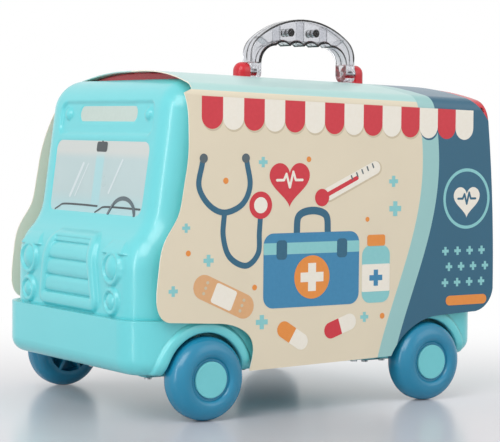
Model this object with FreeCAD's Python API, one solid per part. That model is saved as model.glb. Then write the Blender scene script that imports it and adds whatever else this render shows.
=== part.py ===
import FreeCAD
import Part
import math
import os

from FreeCAD import Vector

# A van-shaped toy case on four wheels: a wheeled base that holds a tray, a cab and box
# that hinges up at the rear, a red roof with a folding handle, and a printed card sleeve
# that slides down over the whole body. Millimetres, +Z up, front towards -X, floor at z = 0.

# Whole object
overall_length = 342.0   # bumper face to the rear edge of the sleeve
overall_width = 250.0    # over the tyres
overall_height = 314.0   # floor to the top of the handle
overrun = 3.0            # cutters reach this far past what they cut
seat_gap = 0.4           # between pieces that drop into each other
slip_gap = 0.05          # radial, pins and screws in their holes
turn_gap = 0.08          # radial, pieces that turn on a pin
axis_tolerance = 1.0     # degrees, for edges picked by their direction

# Wheels and axles
wheel_radius = 32.0
wheel_width = 25.0
front_overhang = 60.0    # bumper face to the front axle
rear_overhang = 68.0     # rear axle to the rear edge of the sleeve
tyre_shoulder = 11.0     # outer edge of the tyre
tyre_crest = 0.6         # flat ring along the crest of the tyre
tyre_dip = 3.0           # crest of the tyre to the ring round the hub cap
tyre_back_edge = 10.0
tyre_wall = 3.0          # flat rim left round the hollow back
wheel_web = 5.0          # disc left behind the nut pocket
wheel_ribs = 6
wheel_rib_thick = 2.2
wheel_hub_radius = 8.5
hub_cap_radius = 14.0
hub_cap_thick = 3.0
hub_cap_recess = 1.2     # crest of the tyre to the face of the cap
hub_cap_groove = 2.2     # width of the ring round the cap
hub_cap_edge = 0.8
axle_radius = 2.5
nut_pocket_radius = 7.5
nut_pocket_depth = 4.5
nut_radius = 5.5
nut_thick = 1.6
nut_gap = 0.6
axle_end_gap = 1.0       # axle end to the inside of the hub cap

# Base: bumper, skirt, fenders and deck in one moulding, open underneath
base_rear_setback = 12.5    # rear edge of the sleeve to the base
base_side_inset = 12.0   # crest of the tyre to the side of the base
base_wall = 2.5
split_height = 77.0      # top of the bumper, where the body lifts off
skirt_height = 35.0      # lower edge of the skirt
base_front_corner = 30.0
base_rear_corner = 16.0
base_bottom_round = 12.0
arch_radius = 35.5
arch_inner_gap = 7.0     # back of a wheel to the wall of its well
fender_lip = 6.0         # width of the raised ring round an arch
fender_proud = 2.2       # how far the ring stands out from the side
fender_depth = 8.0       # how far the ring reaches into the base
fender_round = 2.0
tray_hole_front = 27.0   # bumper face to the tray opening
tray_hole_rear = 34.5    # tray opening to the rear of the base
tray_hole_side = 32.0    # tray opening to the side of the base
tray_hole_corner = 14.0
post_radius = 4.5
post_end_inset = 20.0    # screw posts, in from the bumper and from the rear wall
post_end_half_pitch = 40.0
post_side_inset = 18.0
post_arch_gap = 23.0     # wheel well to the nearest side post

# Chassis plate and axle clamps
plate_thick = 2.5
pad_length = 120.0
pad_half_width = 50.0
pad_drop = 1.5
clamp_length = 28.0
clamp_width = 12.0
clamp_below_axle = 6.0
clamp_place = 45.0       # half the spacing of the two clamps on one axle
clamp_screw_half_pitch = 9.0
plate_boss_height = 3.0
screw_radius = 1.5
screw_head_radius = 2.9
screw_head_thick = 1.8
screw_bite = 9.0         # thread length in a post

# Tray
tray_wall = 1.8
tray_flange_thick = 2.0
tray_flange_lip = 7.0
tray_bottom_height = 42.0
tray_corner = 10.0
tray_edge = 3.0          # recess to the edge of the opening in the deck
tray_divider = 8.0       # flat left between two recesses
bowl_radius = 38.0
long_recess_share = 0.601   # of what the bowl and the dividers leave
tray_side = 6.0          # recess to the side of the opening in the deck

# Hinge across the rear
hinge_barrel_radius = 4.5
hinge_wall_gap = 0.5
hinge_pin_radius = 1.5
hinge_half_length = 60.0
hinge_knuckles = 5
hinge_knuckle_gap = 0.5

# Cab and box, one moulding open underneath
cab_side_inset = 21.0    # hub cap face to the side of the cab
cab_setback = 5.5        # bumper face to the grille face
cab_top_drop = 54.5      # top of the handle down to the cab's roof
hood_share = 0.2027      # of the body's rise, where the grille face starts to curve back
hood_radius = 36.0
hood_lean = 45.0         # degrees, the steepest lean, between hood and windscreen
screen_foot_radius = 40.0
screen_lean = 8.0        # degrees
cab_brow_radius = 27.0   # windscreen over to the roof
cab_corner = 24.0
cab_rear_corner = 14.0
shell_wall = 2.5
roof_seat_drop = 19.5    # cab's roof down to the seat of the red roof
roof_front_setback = 71.0

# Details on the cab front
visor_half_share = 0.731    # shares ending in half or place are of the cab's half width
visor_bottom_share = 0.7562   # the other shares are of the body's rise
visor_top_share = 0.9082
visor_recess = 2.5
visor_corner = 9.0
label_recess = 0.8
label_thick = 0.5
screen_top_share = 0.7397
screen_bottom_share = 0.411
screen_top_half_share = 0.7308
screen_bottom_half_share = 0.7212
screen_corner = 9.0
name_plate_half_share = 0.447
name_plate_height_share = 0.8507
name_plate_rise_share = 0.0795
marker_place_share = 0.6154
marker_radius = 4.5
marker_proud = 3.0
grille_foot = 3.5        # bumper top to the grille
grille_top_share = 0.337
grille_bottom_half_share = 0.4519
grille_top_half_share = 0.3558
grille_border = 8.5
grille_top_border = 4.0
grille_proud = 2.8
grille_corner = 9.0
grille_rows = 3.4        # rows of slats, the top one cut short
grille_groove = 1.6
grille_bar_proud = 1.0
lamp_place_share = 0.6538
upper_lamp_share = 0.2082
upper_lamp_radius = 13.0
lower_lamp_share = 0.0685
lower_lamp_radius = 10.2
lamp_ring = 2.8
lamp_proud = 2.0
lamp_dome = 4.0
brow_half_width = 16.0
brow_top_half_width = 9.0
brow_rise = 11.0         # lamp centre to the lower edge of the brow
brow_height = 10.0
brow_proud = 2.2         # past the grille face

# Side windows
window_sill_share = 0.2685   # of the body's rise
window_head_gap = 9.5    # awning down to the window
window_setback = 111.0   # bumper face to the front of the window
window_rear_setback = 81.0   # window to the rear edge of the sleeve
window_corner = 10.0
window_frame_width = 8.0
window_frame_lip = 4.0
window_frame_thick = 3.0
pane_thick = 1.6

# Roof, awnings and roof screws
roof_side_inset = 13.0   # hub cap face to the side of the roof
roof_rear_setback = 1.0
roof_wall = 2.5
roof_rear_round = 20.0
roof_apron_drop = 47.5   # cab's roof down to the edge of the roof behind the box
roof_shoulder = 20.0
roof_sag = 9.7           # fall of the dome from the ridge to the shoulder
ridge_drop = 46.5        # top of the handle down to the sleeve's flat ridge, at its front
ridge_fall = 10.0        # drop of the ridge along the sleeve
ridge_flat = 15.0        # half width of the flat along the ridge
ridge_strip_half_width = 12.0
ridge_strip_proud = 0.4  # strip along the roof that the sleeve rests on
roof_rim = 22.0          # width of the rim that sits on the box
roof_screw_inset = 18.0
roof_screw_post_radius = 4.0
awning_setback = 86.0
awning_rear_setback = 46.0
awning_scallops = 7
awning_drop_share = 0.1644   # of the body's rise
awning_thick = 2.2
awning_reach = 10.0      # how far the lower edge stands out from the wall
awning_flange = 9.0      # strip that lies flat on the wall
awning_scallop_share = 0.28

# Handle
handle_rear_setback = 116.3   # middle of the handle to the rear edge of the sleeve
handle_span = 108.6
handle_depth = 15.3
handle_leg_width = 10.2
handle_pivot_drop = 45.0     # drops are from the top of the handle
handle_spring_drop = 24.0    # where the legs turn into the arch
handle_shoulder = 20.0
handle_wall = 2.0
handle_edge = 2.4
grip_drop = 23.0
grip_scallops = 4
grip_scallop_depth = 3.0
grip_corner = 15.0       # upper corners of the opening
handle_screw_half_pitch = 13.0
handle_screw_drop = 11.5
handle_boss_radius = 3.4
ear_thick = 10.4
ear_gap = 0.5
ear_hide = 2.0
ear_round = 6.0
well_margin = 3.5        # room in the roof well past the ears
well_half_width = 20.0
well_floor_drop = 61.0
handle_pin_radius = 2.0

# Printed sleeve
card_thick = 0.8
sleeve_front_setback = 14.0   # bumper face to the front of the sleeve
sleeve_side_inset = 5.4       # crest of the tyre to the sleeve
sleeve_bottom = 36.0
sleeve_sag = 10.8        # fall of the top from the ridge to the bend
sleeve_shoulder = 10.0   # bend where the side turns into the top
sleeve_scoop = 17.0      # how far the top's front edge is curved back at the ridge
scoop_inset = 7.6
slot_margin = 4.5
# Edge of the sheet: distances along the van from its front or rear, and shares of its rise.
notch_setback = 29.7
notch_share = 0.925
front_setbacks = (22.6, 26.0, 27.1, 27.1, 22.5, 18.5, 8.8, 4.1, 2.1, 0.2, 0.3, 3.7, 10.7)
front_shares = (0.912, 0.863, 0.795, 0.717, 0.589, 0.517, 0.451, 0.405, 0.354, 0.282, 0.231, 0.194, 0.175)
lean_setbacks = (52.0, 35.1, 24.5)   # right-hand front edge, which leans back
lean_shares = (0.925, 0.80, 0.637)
rear_edge_setbacks = (2.0, 7.5)
rear_edge_shares = (0.552, 0.832)
rear_top_setbacks = (14.0, 25.5)
rear_top_shares = (0.866, 0.909)
# Lower edge as millimetres from an axle or from the rear, and above the bottom of the sheet.
front_arch = ((5.7, 38.0), (16.2, 37.0), (26.6, 33.9), (33.7, 29.8), (38.4, 24.6), (40.3, 18.6), (40.0, 10.8),
              (38.6, 5.5), (37.0, 0.0))
rear_arch = ((-39.3, 2.9), (-17.9, 25.1), (8.0, 33.3))
rear_foot = (22.6, 34.8)
rear_corner = ((5.9, 41.3), (0.0, 53.2))

# Worked out from the sizes above
front_x = -overall_length / 2
rear_x = overall_length / 2
base_rear_x = rear_x - base_rear_setback
front_axle_x = front_x + front_overhang
rear_axle_x = rear_x - rear_overhang
body_rise = overall_height - cab_top_drop - split_height
cab_top_height = overall_height - cab_top_drop
roof_seat_height = cab_top_height - roof_seat_drop
roof_apron_height = cab_top_height - roof_apron_drop
ridge_height = overall_height - ridge_drop
well_floor_height = overall_height - well_floor_drop
handle_pivot_height = overall_height - handle_pivot_drop
handle_spring_height = overall_height - handle_spring_drop
handle_screw_height = overall_height - handle_screw_drop
grip_underside = overall_height - grip_drop
half_width = overall_width / 2
base_half_width = half_width - base_side_inset
cab_half_width = half_width - cab_side_inset
roof_half_width = half_width - roof_side_inset
sleeve_outer_half_width = half_width - sleeve_side_inset
scoop_half_width = sleeve_outer_half_width - scoop_inset
tray_hole_half_width = base_half_width - tray_hole_side
tray_half_width = tray_hole_half_width - tray_side
tray_hole_length = base_rear_x - front_x - tray_hole_front - tray_hole_rear
post_side_half_pitch = (rear_axle_x - front_axle_x) / 2 - arch_radius - post_arch_gap
axle_z = wheel_radius
deck_under = split_height - base_wall
plate_top = skirt_height + plate_thick
wheel_face_y = half_width
hub_face_y = wheel_face_y - hub_cap_recess
wheel_back_y = wheel_face_y - wheel_width
arch_inner_width = wheel_back_y - arch_inner_gap
well_wall_y = arch_inner_width - base_wall
cap_seat_y = hub_face_y - hub_cap_thick
nut_seat_y = cap_seat_y - nut_pocket_depth
axle_half_length = cap_seat_y - axle_end_gap
hinge_x = base_rear_x + hinge_barrel_radius + hinge_wall_gap
cab_front_x = front_x + cab_setback
roof_front_x = front_x + roof_front_setback
roof_length = rear_x - roof_rear_setback - roof_front_x
handle_x = rear_x - handle_rear_setback
sleeve_front_x = front_x + sleeve_front_setback
sleeve_length = rear_x - sleeve_front_x
ridge_slope = ridge_fall / sleeve_length
ear_inner = handle_span / 2 + ear_gap
ear_outer = ear_inner + ear_thick
well_half_length = ear_outer + well_margin
slot_half_length = ear_outer + slot_margin
pivot_radius = handle_depth / 2
screw_hole = screw_radius + slip_gap
window_sill_height = split_height + window_sill_share * body_rise
awning_top = cab_top_height - cab_corner
awning_drop = awning_drop_share * body_rise
window_height = awning_top - awning_drop - window_head_gap - window_sill_height
window_length = overall_length - window_setback - window_rear_setback
awning_length = overall_length - awning_setback - awning_rear_setback
awning_scallop_width = awning_length / awning_scallops


def up(share):
    # A height given as a share of the body's rise.
    return split_height + share * body_rise


def out(share):
    # A distance from the middle given as a share of the cab's half width.
    return share * cab_half_width


visor_half_width = out(visor_half_share)
name_plate_height = up(name_plate_height_share)
name_plate_half_height = name_plate_rise_share * body_rise / 2
grille_bottom = split_height + grille_foot
grille_top = up(grille_top_share)
lamp_place = out(lamp_place_share)
upper_lamp_height = up(upper_lamp_share)
lower_lamp_height = up(lower_lamp_share)


def box(x0, x1, y0, y1, z0, z1):
    return Part.makeBox(x1 - x0, y1 - y0, z1 - z0, Vector(x0, y0, z0))


def mirror_y(shape):
    return shape.mirror(Vector(0, 0, 0), Vector(0, 1, 0))


def on_both_sides(shape):
    return [shape, mirror_y(shape)]


def fuse(shapes):
    first, *rest = shapes
    return first.multiFuse(rest).removeSplitter()


def cylinder_y(radius, x, y0, y1, z):
    return Part.makeCylinder(radius, y1 - y0, Vector(x, y0, z), Vector(0, 1, 0))


def cylinder_x(radius, x0, x1, y, z):
    return Part.makeCylinder(radius, x1 - x0, Vector(x0, y, z), Vector(1, 0, 0))


def cylinder_z(radius, x, y, z0, z1):
    return Part.makeCylinder(radius, z1 - z0, Vector(x, y, z0))


def along(shape, direction):
    # Straight edges of a shape that run along one axis.
    picked = []
    for edge in shape.Edges:
        if len(edge.Vertexes) == 2 and isinstance(edge.Curve, Part.Line):
            run = edge.Vertexes[1].Point - edge.Vertexes[0].Point
            if abs(run.normalize().dot(direction)) > math.cos(math.radians(axis_tolerance)):
                picked.append(edge)
    return picked


def plan_block(x0, x1, half_width, front_corner, rear_corner, z0, z1):
    # A block with rounded upright corners.
    block = box(x0, x1, -half_width, half_width, z0, z1)
    if front_corner:
        front = [edge for edge in along(block, Vector(0, 0, 1)) if edge.CenterOfMass.x < x0 + slip_gap]
        block = block.makeFillet(front_corner, front)
    rear = [edge for edge in along(block, Vector(0, 0, 1)) if edge.CenterOfMass.x > x1 - slip_gap]
    return block.makeFillet(rear_corner, rear)


def side_plate(points, y0, y1, corner):
    # A polygon in the side view, with rounded corners, between two widths.
    corners = [Vector(x, y0, z) for x, z in points]
    plate = Part.Face(Part.makePolygon(corners + corners[:1])).extrude(Vector(0, y1 - y0, 0))
    return plate.makeFillet(corner, along(plate, Vector(0, 1, 0))) if corner else plate


def front_prism(points, corner):
    # A polygon in the front view, with rounded corners, that passes through the cab front.
    start = front_x - overrun
    corners = [Vector(start, y, z) for y, z in points]
    face = Part.Face(Part.makePolygon(corners + corners[:1]))
    prism = face.extrude(Vector(roof_front_setback, 0, 0))
    return prism.makeFillet(corner, along(prism, Vector(1, 0, 0))) if corner else prism


def trapezoid(bottom, top, bottom_half, top_half):
    return [(-bottom_half, bottom), (bottom_half, bottom), (top_half, top), (-top_half, top)]


def rectangle(bottom, top, half):
    return trapezoid(bottom, top, half, half)


# Wheels
def face_dip():
    # Turned cutter: an arc from the crest of the tyre down to the flat ring round the hub cap.
    crest = wheel_radius - tyre_shoulder - tyre_crest
    ring = hub_cap_radius + hub_cap_groove
    run = crest - ring
    radius = (run ** 2 + tyre_dip ** 2) / (2 * tyre_dip)
    half_turn = math.asin(run / radius) / 2
    start = Vector(crest, wheel_face_y, 0)
    middle = start - Vector(radius * math.sin(half_turn), radius * (1 - math.cos(half_turn)), 0)
    end = Vector(ring, wheel_face_y - tyre_dip, 0)
    above = wheel_face_y + overrun
    bend = Part.Arc(start, middle, end).toShape()
    rest = Part.makePolygon([end, Vector(0, end.y, 0), Vector(0, above, 0), Vector(crest, above, 0), start])
    return Part.Face(Part.Wire([bend] + rest.Edges)).revolve(Vector(0, 0, 0), Vector(0, 1, 0), 360)


def wheel():
    # Axis along +Y, back of the wheel at wheel_back_y, face outwards.
    body = cylinder_y(wheel_radius, 0, wheel_back_y, wheel_face_y, 0)
    face_edge = [edge for edge in body.Edges if edge.BoundBox.YMin > wheel_face_y - overrun]
    body = body.makeFillet(tyre_shoulder, face_edge)
    back_edge = [edge for edge in body.Edges if edge.BoundBox.YMax < wheel_back_y + overrun]
    body = body.makeFillet(tyre_back_edge, back_edge).cut(face_dip())
    behind = wheel_back_y - overrun
    hollow_end = nut_seat_y - wheel_web
    hollow = cylinder_y(wheel_radius - tyre_wall - tyre_back_edge, 0, behind, hollow_end, 0)
    hollow = hollow.cut(cylinder_y(wheel_hub_radius, 0, behind, hollow_end, 0))
    for step in range(wheel_ribs):
        rib = box(0, wheel_radius, behind, hollow_end, -wheel_rib_thick / 2, wheel_rib_thick / 2)
        rib.rotate(Vector(0, 0, 0), Vector(0, 1, 0), step * 360 / wheel_ribs)
        hollow = hollow.cut(rib)
    body = body.cut(hollow)
    body = body.cut(cylinder_y(hub_cap_radius + slip_gap, 0, cap_seat_y, hub_face_y + overrun, 0))
    body = body.cut(cylinder_y(nut_pocket_radius, 0, nut_seat_y, hub_face_y, 0))
    return body.cut(cylinder_y(axle_radius + turn_gap, 0, behind, hub_face_y, 0))


def hub_cap():
    cap = cylinder_y(hub_cap_radius, 0, cap_seat_y, hub_face_y, 0)
    face_edge = [edge for edge in cap.Edges if edge.BoundBox.YMin > hub_face_y - hub_cap_edge]
    return cap.makeFillet(hub_cap_edge, face_edge)


def push_nut():
    start = nut_seat_y + nut_gap
    nut = cylinder_y(nut_radius, 0, start, start + nut_thick, 0)
    return nut.cut(cylinder_y(axle_radius + slip_gap, 0, start - overrun, start + nut_thick + overrun, 0))


def placed(shape, x, side):
    moved = mirror_y(shape) if side < 0 else shape.copy()
    moved.translate(Vector(x, 0, axle_z))
    return moved


def axle(x):
    return cylinder_y(axle_radius, x, -axle_half_length, axle_half_length, axle_z)


# Base
def wheel_wells(radius, inner):
    wells = []
    for x in (front_axle_x, rear_axle_x):
        well = cylinder_y(radius, x, inner, overall_width, axle_z)
        wells.extend(on_both_sides(well))
    return wells


def fender_disc(x):
    # A disc with a rounded rim, trimmed to the grown base; the arch that is cut later leaves a raised ring.
    inner = base_half_width - fender_depth
    disc = cylinder_y(arch_radius + fender_lip, x, inner, base_half_width + fender_proud, axle_z)
    rim = [edge for edge in disc.Edges if edge.BoundBox.YMin > base_half_width]
    disc = disc.makeFillet(fender_round, rim)
    grown = base_plan(-fender_proud, skirt_height, split_height)
    return disc.common(rounded_bottom(grown, base_bottom_round + fender_proud))


def post_places():
    middle = (front_axle_x + rear_axle_x) / 2
    side_y = base_half_width - post_side_inset
    places = []
    for side in (-1, 1):
        places.append((front_x + post_end_inset, side * post_end_half_pitch))
        places.append((base_rear_x - post_end_inset, side * post_end_half_pitch))
        for end in (-1, 1):
            places.append((middle + end * post_side_half_pitch, side * side_y))
    return places


def hinge_stations():
    pitch = 2 * hinge_half_length / hinge_knuckles
    starts = [i * pitch - hinge_half_length for i in range(hinge_knuckles)]
    return [(start, start + pitch - hinge_knuckle_gap) for start in starts]


def knuckles(first, low, high):
    # Every other barrel, each with a web back to the wall.
    made = []
    for y0, y1 in hinge_stations()[first::2]:
        barrel = cylinder_y(hinge_barrel_radius, hinge_x, y0, y1, split_height)
        web = box(base_rear_x - base_wall, hinge_x, y0, y1, low, high)
        made.append(barrel.fuse(web))
    return made


def hinge_rod(radius, reach):
    half = hinge_half_length + reach
    return cylinder_y(radius, hinge_x, -half, half, split_height)


def tray_hole(inset, z0, z1):
    start = front_x + tray_hole_front + inset
    end = start + tray_hole_length - 2 * inset
    corner = tray_hole_corner - inset
    return plan_block(start, end, tray_hole_half_width - inset, corner, corner, z0, z1)


def base_plan(inset, z0, z1):
    return plan_block(front_x + inset, base_rear_x - inset, base_half_width - inset,
                      base_front_corner - inset, base_rear_corner - inset, z0, z1)


def rounded_bottom(block, radius):
    low = block.BoundBox.ZMin + radius / 2
    return block.makeFillet(radius, [edge for edge in block.Edges if edge.BoundBox.ZMax < low])


def base_shell():
    body = rounded_bottom(base_plan(0, skirt_height, split_height), base_bottom_round)
    hollow = base_plan(base_wall, skirt_height + base_wall, deck_under)
    hollow = rounded_bottom(hollow, base_bottom_round - base_wall)
    mouth = base_plan(base_bottom_round, skirt_height - overrun, skirt_height + base_bottom_round)
    hollow = hollow.fuse(mouth).cut(wheel_wells(arch_radius + base_wall, well_wall_y))
    body = body.cut(hollow)
    discs = [side for x in (front_axle_x, rear_axle_x) for side in on_both_sides(fender_disc(x))]
    posts = [cylinder_z(post_radius, x, y, plate_top, split_height) for x, y in post_places()]
    body = fuse([body] + discs + posts + knuckles(0, split_height - hinge_barrel_radius, split_height))
    body = body.cut(wheel_wells(arch_radius, arch_inner_width))
    pilot_top = plate_top + screw_bite + overrun
    pilots = [cylinder_z(screw_hole, x, y, skirt_height, pilot_top) for x, y in post_places()]
    body = body.cut(pilots + [hinge_rod(hinge_pin_radius + slip_gap, overrun)])
    return body.cut(tray_hole(0, skirt_height, split_height + overrun))


# Chassis plate, axle clamps and their screws
def clamp_places():
    return [(x, side * clamp_place) for x in (front_axle_x, rear_axle_x) for side in (-1, 1)]


def clamp_screw_places():
    return [(x + end * clamp_screw_half_pitch, y) for x, y in clamp_places() for end in (-1, 1)]


def chassis_plate():
    plate = base_plan(base_bottom_round + seat_gap, skirt_height, plate_top)
    plate = plate.cut(wheel_wells(arch_radius + base_wall + seat_gap, well_wall_y - seat_gap))
    middle = (front_axle_x + rear_axle_x) / 2
    pad = box(middle - pad_length / 2, middle + pad_length / 2, -pad_half_width, pad_half_width,
              skirt_height - pad_drop, skirt_height)
    boss_radius = screw_radius + plate_thick
    boss_top = plate_top + plate_boss_height
    bosses = [cylinder_z(boss_radius, x, y, plate_top, boss_top) for x, y in clamp_screw_places()]
    plate = fuse([plate, pad] + bosses)
    places = clamp_screw_places() + post_places()
    low = skirt_height - overrun
    return plate.cut([cylinder_z(screw_hole, x, y, low, boss_top + overrun) for x, y in places])


def axle_clamp(x, y):
    low = axle_z - clamp_below_axle
    clamp = box(x - clamp_length / 2, x + clamp_length / 2, y - clamp_width / 2, y + clamp_width / 2,
                low, skirt_height)
    clamp = clamp.cut(cylinder_y(axle_radius + slip_gap, x, y - clamp_width, y + clamp_width, axle_z))
    for end in (-1, 1):
        place = x + end * clamp_screw_half_pitch
        clamp = clamp.cut(cylinder_z(screw_hole, place, y, low - overrun, skirt_height + overrun))
    return clamp


def upright_screw(x, y, seat, tip):
    # Pan head below its seat, thread pointing up.
    head = cylinder_z(screw_head_radius, x, y, seat - screw_head_thick, seat)
    return head.fuse(cylinder_z(screw_radius, x, y, seat, tip)).removeSplitter()


# Tray
def tray_recesses(grow, low):
    # The bowl, the long recess and the rear recess, grown by a wall.
    start = front_x + tray_hole_front + tray_edge + tray_wall
    end = front_x + tray_hole_front + tray_hole_length - tray_edge - tray_wall
    top = split_height + tray_flange_thick + (0 if grow else overrun)
    bowl_x = start + bowl_radius
    long_x = bowl_x + bowl_radius + tray_divider
    half = tray_half_width + grow
    corner = tray_corner + grow
    bowl = cylinder_z(bowl_radius + grow, bowl_x, 0, low, top)
    long_end = long_x + long_recess_share * (end - long_x - tray_divider)
    long_box = plan_block(long_x - grow, long_end + grow, half, corner, corner, low, top)
    rear_box = plan_block(long_end + tray_divider - grow, end + grow, half, corner, corner, low, top)
    return [bowl, long_box, rear_box]


def tray_insert():
    flange = tray_hole(-tray_flange_lip, split_height, split_height + tray_flange_thick)
    tray = fuse([flange] + tray_recesses(tray_wall, tray_bottom_height))
    return tray.cut(tray_recesses(0, tray_bottom_height + tray_wall))


# Cab and box
def cab_profile(inset):
    # Points up the front: grille face, hood arc, hollow arc, windscreen line, arc to the roof.
    steep = math.radians(hood_lean)
    lean = math.radians(screen_lean)
    hood = hood_radius - inset
    foot = screen_foot_radius + inset
    crown = cab_brow_radius - inset
    top = cab_top_height - inset

    def swing(start, radius, angle0, angle1):
        # A point further round an arc whose tangent leans back by angle0 at the start.
        turn = abs(angle1 - angle0) / (angle1 - angle0)
        across = turn * radius * (math.cos(angle0) - math.cos(angle1))
        return start + Vector(across, 0, turn * radius * (math.sin(angle1) - math.sin(angle0)))

    p0 = Vector(cab_front_x + inset, 0, up(hood_share))
    p1 = swing(p0, hood, 0, steep / 2)
    p2 = swing(p0, hood, 0, steep)
    p3 = swing(p2, foot, steep, (steep + lean) / 2)
    p4 = swing(p2, foot, steep, lean)
    rise = top - crown * (1 - math.sin(lean)) - p4.z
    p5 = p4 + Vector(rise * math.tan(lean), 0, rise)
    p6 = swing(p5, crown, lean, (lean + math.pi / 2) / 2)
    p7 = swing(p5, crown, lean, math.pi / 2)
    return [p0, p1, p2, p3, p4, p5, p6, p7]


def cab_block(inset):
    # The side view widened, with all its long edges rounded.
    top = cab_top_height - inset
    end = base_rear_x - inset
    low = split_height - inset
    half = cab_half_width - inset
    p = [point - Vector(0, half, 0) for point in cab_profile(inset)]
    foot = Vector(p[0].x, -half, low)
    front = [
        Part.makeLine(foot, p[0]),
        Part.Arc(p[0], p[1], p[2]).toShape(),
        Part.Arc(p[2], p[3], p[4]).toShape(),
        Part.makeLine(p[4], p[5]),
        Part.Arc(p[5], p[6], p[7]).toShape(),
    ]
    rest = Part.makePolygon([p[7], Vector(end, -half, top), Vector(end, -half, low), foot])
    block = Part.Face(Part.Wire(front + rest.Edges)).extrude(Vector(0, 2 * half, 0))
    long_edges = []
    for edge in block.Edges:
        bound = edge.BoundBox
        at_rear = bound.XMin > end - slip_gap
        at_foot = bound.ZMax < low + slip_gap
        if bound.YLength < slip_gap and not at_rear and not at_foot:
            long_edges.append(edge)
    block = block.makeFillet(cab_corner - inset, long_edges)
    return block.common(plan_block(front_x, end, half, 0, cab_rear_corner - inset, low, top))


def roof_step(inset):
    return box(roof_front_x - inset, rear_x, -overall_width, overall_width,
               roof_seat_height - inset, overall_height)


def shifted(shape, forward):
    moved = shape.copy()
    moved.translate(Vector(-forward, 0, 0))
    return moved


def grille(cab):
    bottom_half = out(grille_bottom_half_share)
    top_half = out(grille_top_half_share)
    frame = front_prism(trapezoid(grille_bottom, grille_top, bottom_half, top_half), grille_corner)
    low = grille_bottom + grille_border
    high = grille_top - grille_top_border
    hole = front_prism(trapezoid(low, high, bottom_half - grille_border, top_half - grille_border), 0)
    raised = shifted(cab, grille_proud).common(frame.cut(hole))
    pitch = (high - low) / grille_rows
    bars = []
    for i in range(math.ceil(grille_rows)):
        start = low + i * pitch + grille_groove
        bar = front_prism(rectangle(start, start + pitch - grille_groove, bottom_half), 0)
        bars.append(shifted(cab, grille_bar_proud).common(bar.common(hole)))
    return [raised] + bars


def dome(base_radius, height, x, y, z):
    # A cap of a sphere that bulges towards -X from a base circle at x.
    radius = (base_radius ** 2 + height ** 2) / (2 * height)
    ball = Part.makeSphere(radius, Vector(x + radius - height, y, z))
    return ball.common(cylinder_x(base_radius, x - height - overrun, x + base_radius, y, z))


def lamp(cab, radius, y, z):
    # A raised ring that follows the cab front, round a bulging lens.
    start = front_x - overrun
    end = roof_front_x
    ring = cylinder_x(radius, start, end, y, z).cut(cylinder_x(radius - lamp_ring, start, end, y, z))
    lens = dome(radius - lamp_ring, lamp_dome, cab_front_x, y, z)
    return [shifted(cab, lamp_proud).common(ring), lens]


def brow(cab, y):
    # A ledge over an upper lamp that follows the cab front and runs back into the hood.
    low = upper_lamp_height + brow_rise
    edge = cab_front_x - brow_proud
    back = edge + brow_height
    points = [(edge, low), (back, low + brow_height), (back, low)]
    wedge = side_plate(points, y - brow_half_width, y + brow_half_width, 0)
    lid = front_prism(trapezoid(low, low + brow_height, brow_half_width, brow_top_half_width), 0)
    lid.translate(Vector(0, y, 0))
    return shifted(cab, brow_proud).common(wedge.common(lid))


def cab_details(cab):
    made = grille(cab)
    for side in (-1, 1):
        made.extend(lamp(cab, upper_lamp_radius, side * lamp_place, upper_lamp_height))
        made.extend(lamp(cab, lower_lamp_radius, side * lamp_place, lower_lamp_height))
        made.append(brow(cab, side * lamp_place))
    return made


def markers():
    # Two small domes on the floor of the recessed band over the windscreen.
    start = cab_profile(0)[4]
    height = name_plate_height
    x = start.x + (height - start.z) * math.tan(math.radians(screen_lean)) + visor_recess
    place = out(marker_place_share)
    return [dome(marker_radius, marker_proud, x, side * place, height) for side in (-1, 1)]


def visor_prism(grow):
    bottom = up(visor_bottom_share) - grow
    top = up(visor_top_share) + grow
    outline = rectangle(bottom, top, visor_half_width + grow)
    return front_prism(outline, visor_corner + grow)


def screen_prism(inset):
    outline = trapezoid(up(screen_bottom_share) + inset, up(screen_top_share) - inset,
                        out(screen_bottom_half_share) - inset, out(screen_top_half_share) - inset)
    return front_prism(outline, screen_corner - inset)


def name_prism(inset):
    half_height = name_plate_half_height - inset
    outline = rectangle(name_plate_height - half_height, name_plate_height + half_height,
                        out(name_plate_half_share) - inset)
    return front_prism(outline, half_height - slip_gap)


def label(cab, prism, proud):
    floor = shifted(cab, proud - label_recess)
    return shifted(cab, proud - label_recess + label_thick).common(prism).cut(floor)


def window_plate(grow, y0, y1):
    x0 = front_x + window_setback - grow
    x1 = front_x + window_setback + window_length + grow
    z0 = window_sill_height - grow
    z1 = window_sill_height + window_height + grow
    return side_plate([(x0, z0), (x1, z0), (x1, z1), (x0, z1)], y0, y1, window_corner + grow)


def upper_shell(cab):
    name_depth = visor_recess + label_recess
    body = cab.multiFuse(cab_details(cab))
    body = body.cut(visor_prism(0).cut(shifted(cab, -visor_recess))).multiFuse(markers())
    body = body.cut([screen_prism(0).cut(shifted(cab, -label_recess)),
                     name_prism(0).cut(shifted(cab, -name_depth))])
    body = body.cut(roof_step(0))
    backing = visor_prism(shell_wall).cut(shifted(cab, -name_depth - shell_wall))
    body = body.cut(cab_block(shell_wall).cut([roof_step(shell_wall), backing]))
    body = body.cut(on_both_sides(window_plate(0, 0, overall_width)))
    body = fuse([body] + knuckles(1, split_height, split_height + hinge_barrel_radius))
    holes = [cylinder_z(screw_hole, x, y, split_height, overall_height) for x, y in roof_screw_places()]
    return body.cut(holes + [hinge_rod(hinge_pin_radius + turn_gap, overrun)])


def window_frame():
    face = cab_half_width
    outside = face + window_frame_thick
    frame = window_plate(window_frame_width, face, outside)
    return frame.cut(window_plate(-window_frame_lip, face - overrun, outside + overrun))


def window_pane():
    return window_plate(-seat_gap, cab_half_width - pane_thick, cab_half_width)


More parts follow.
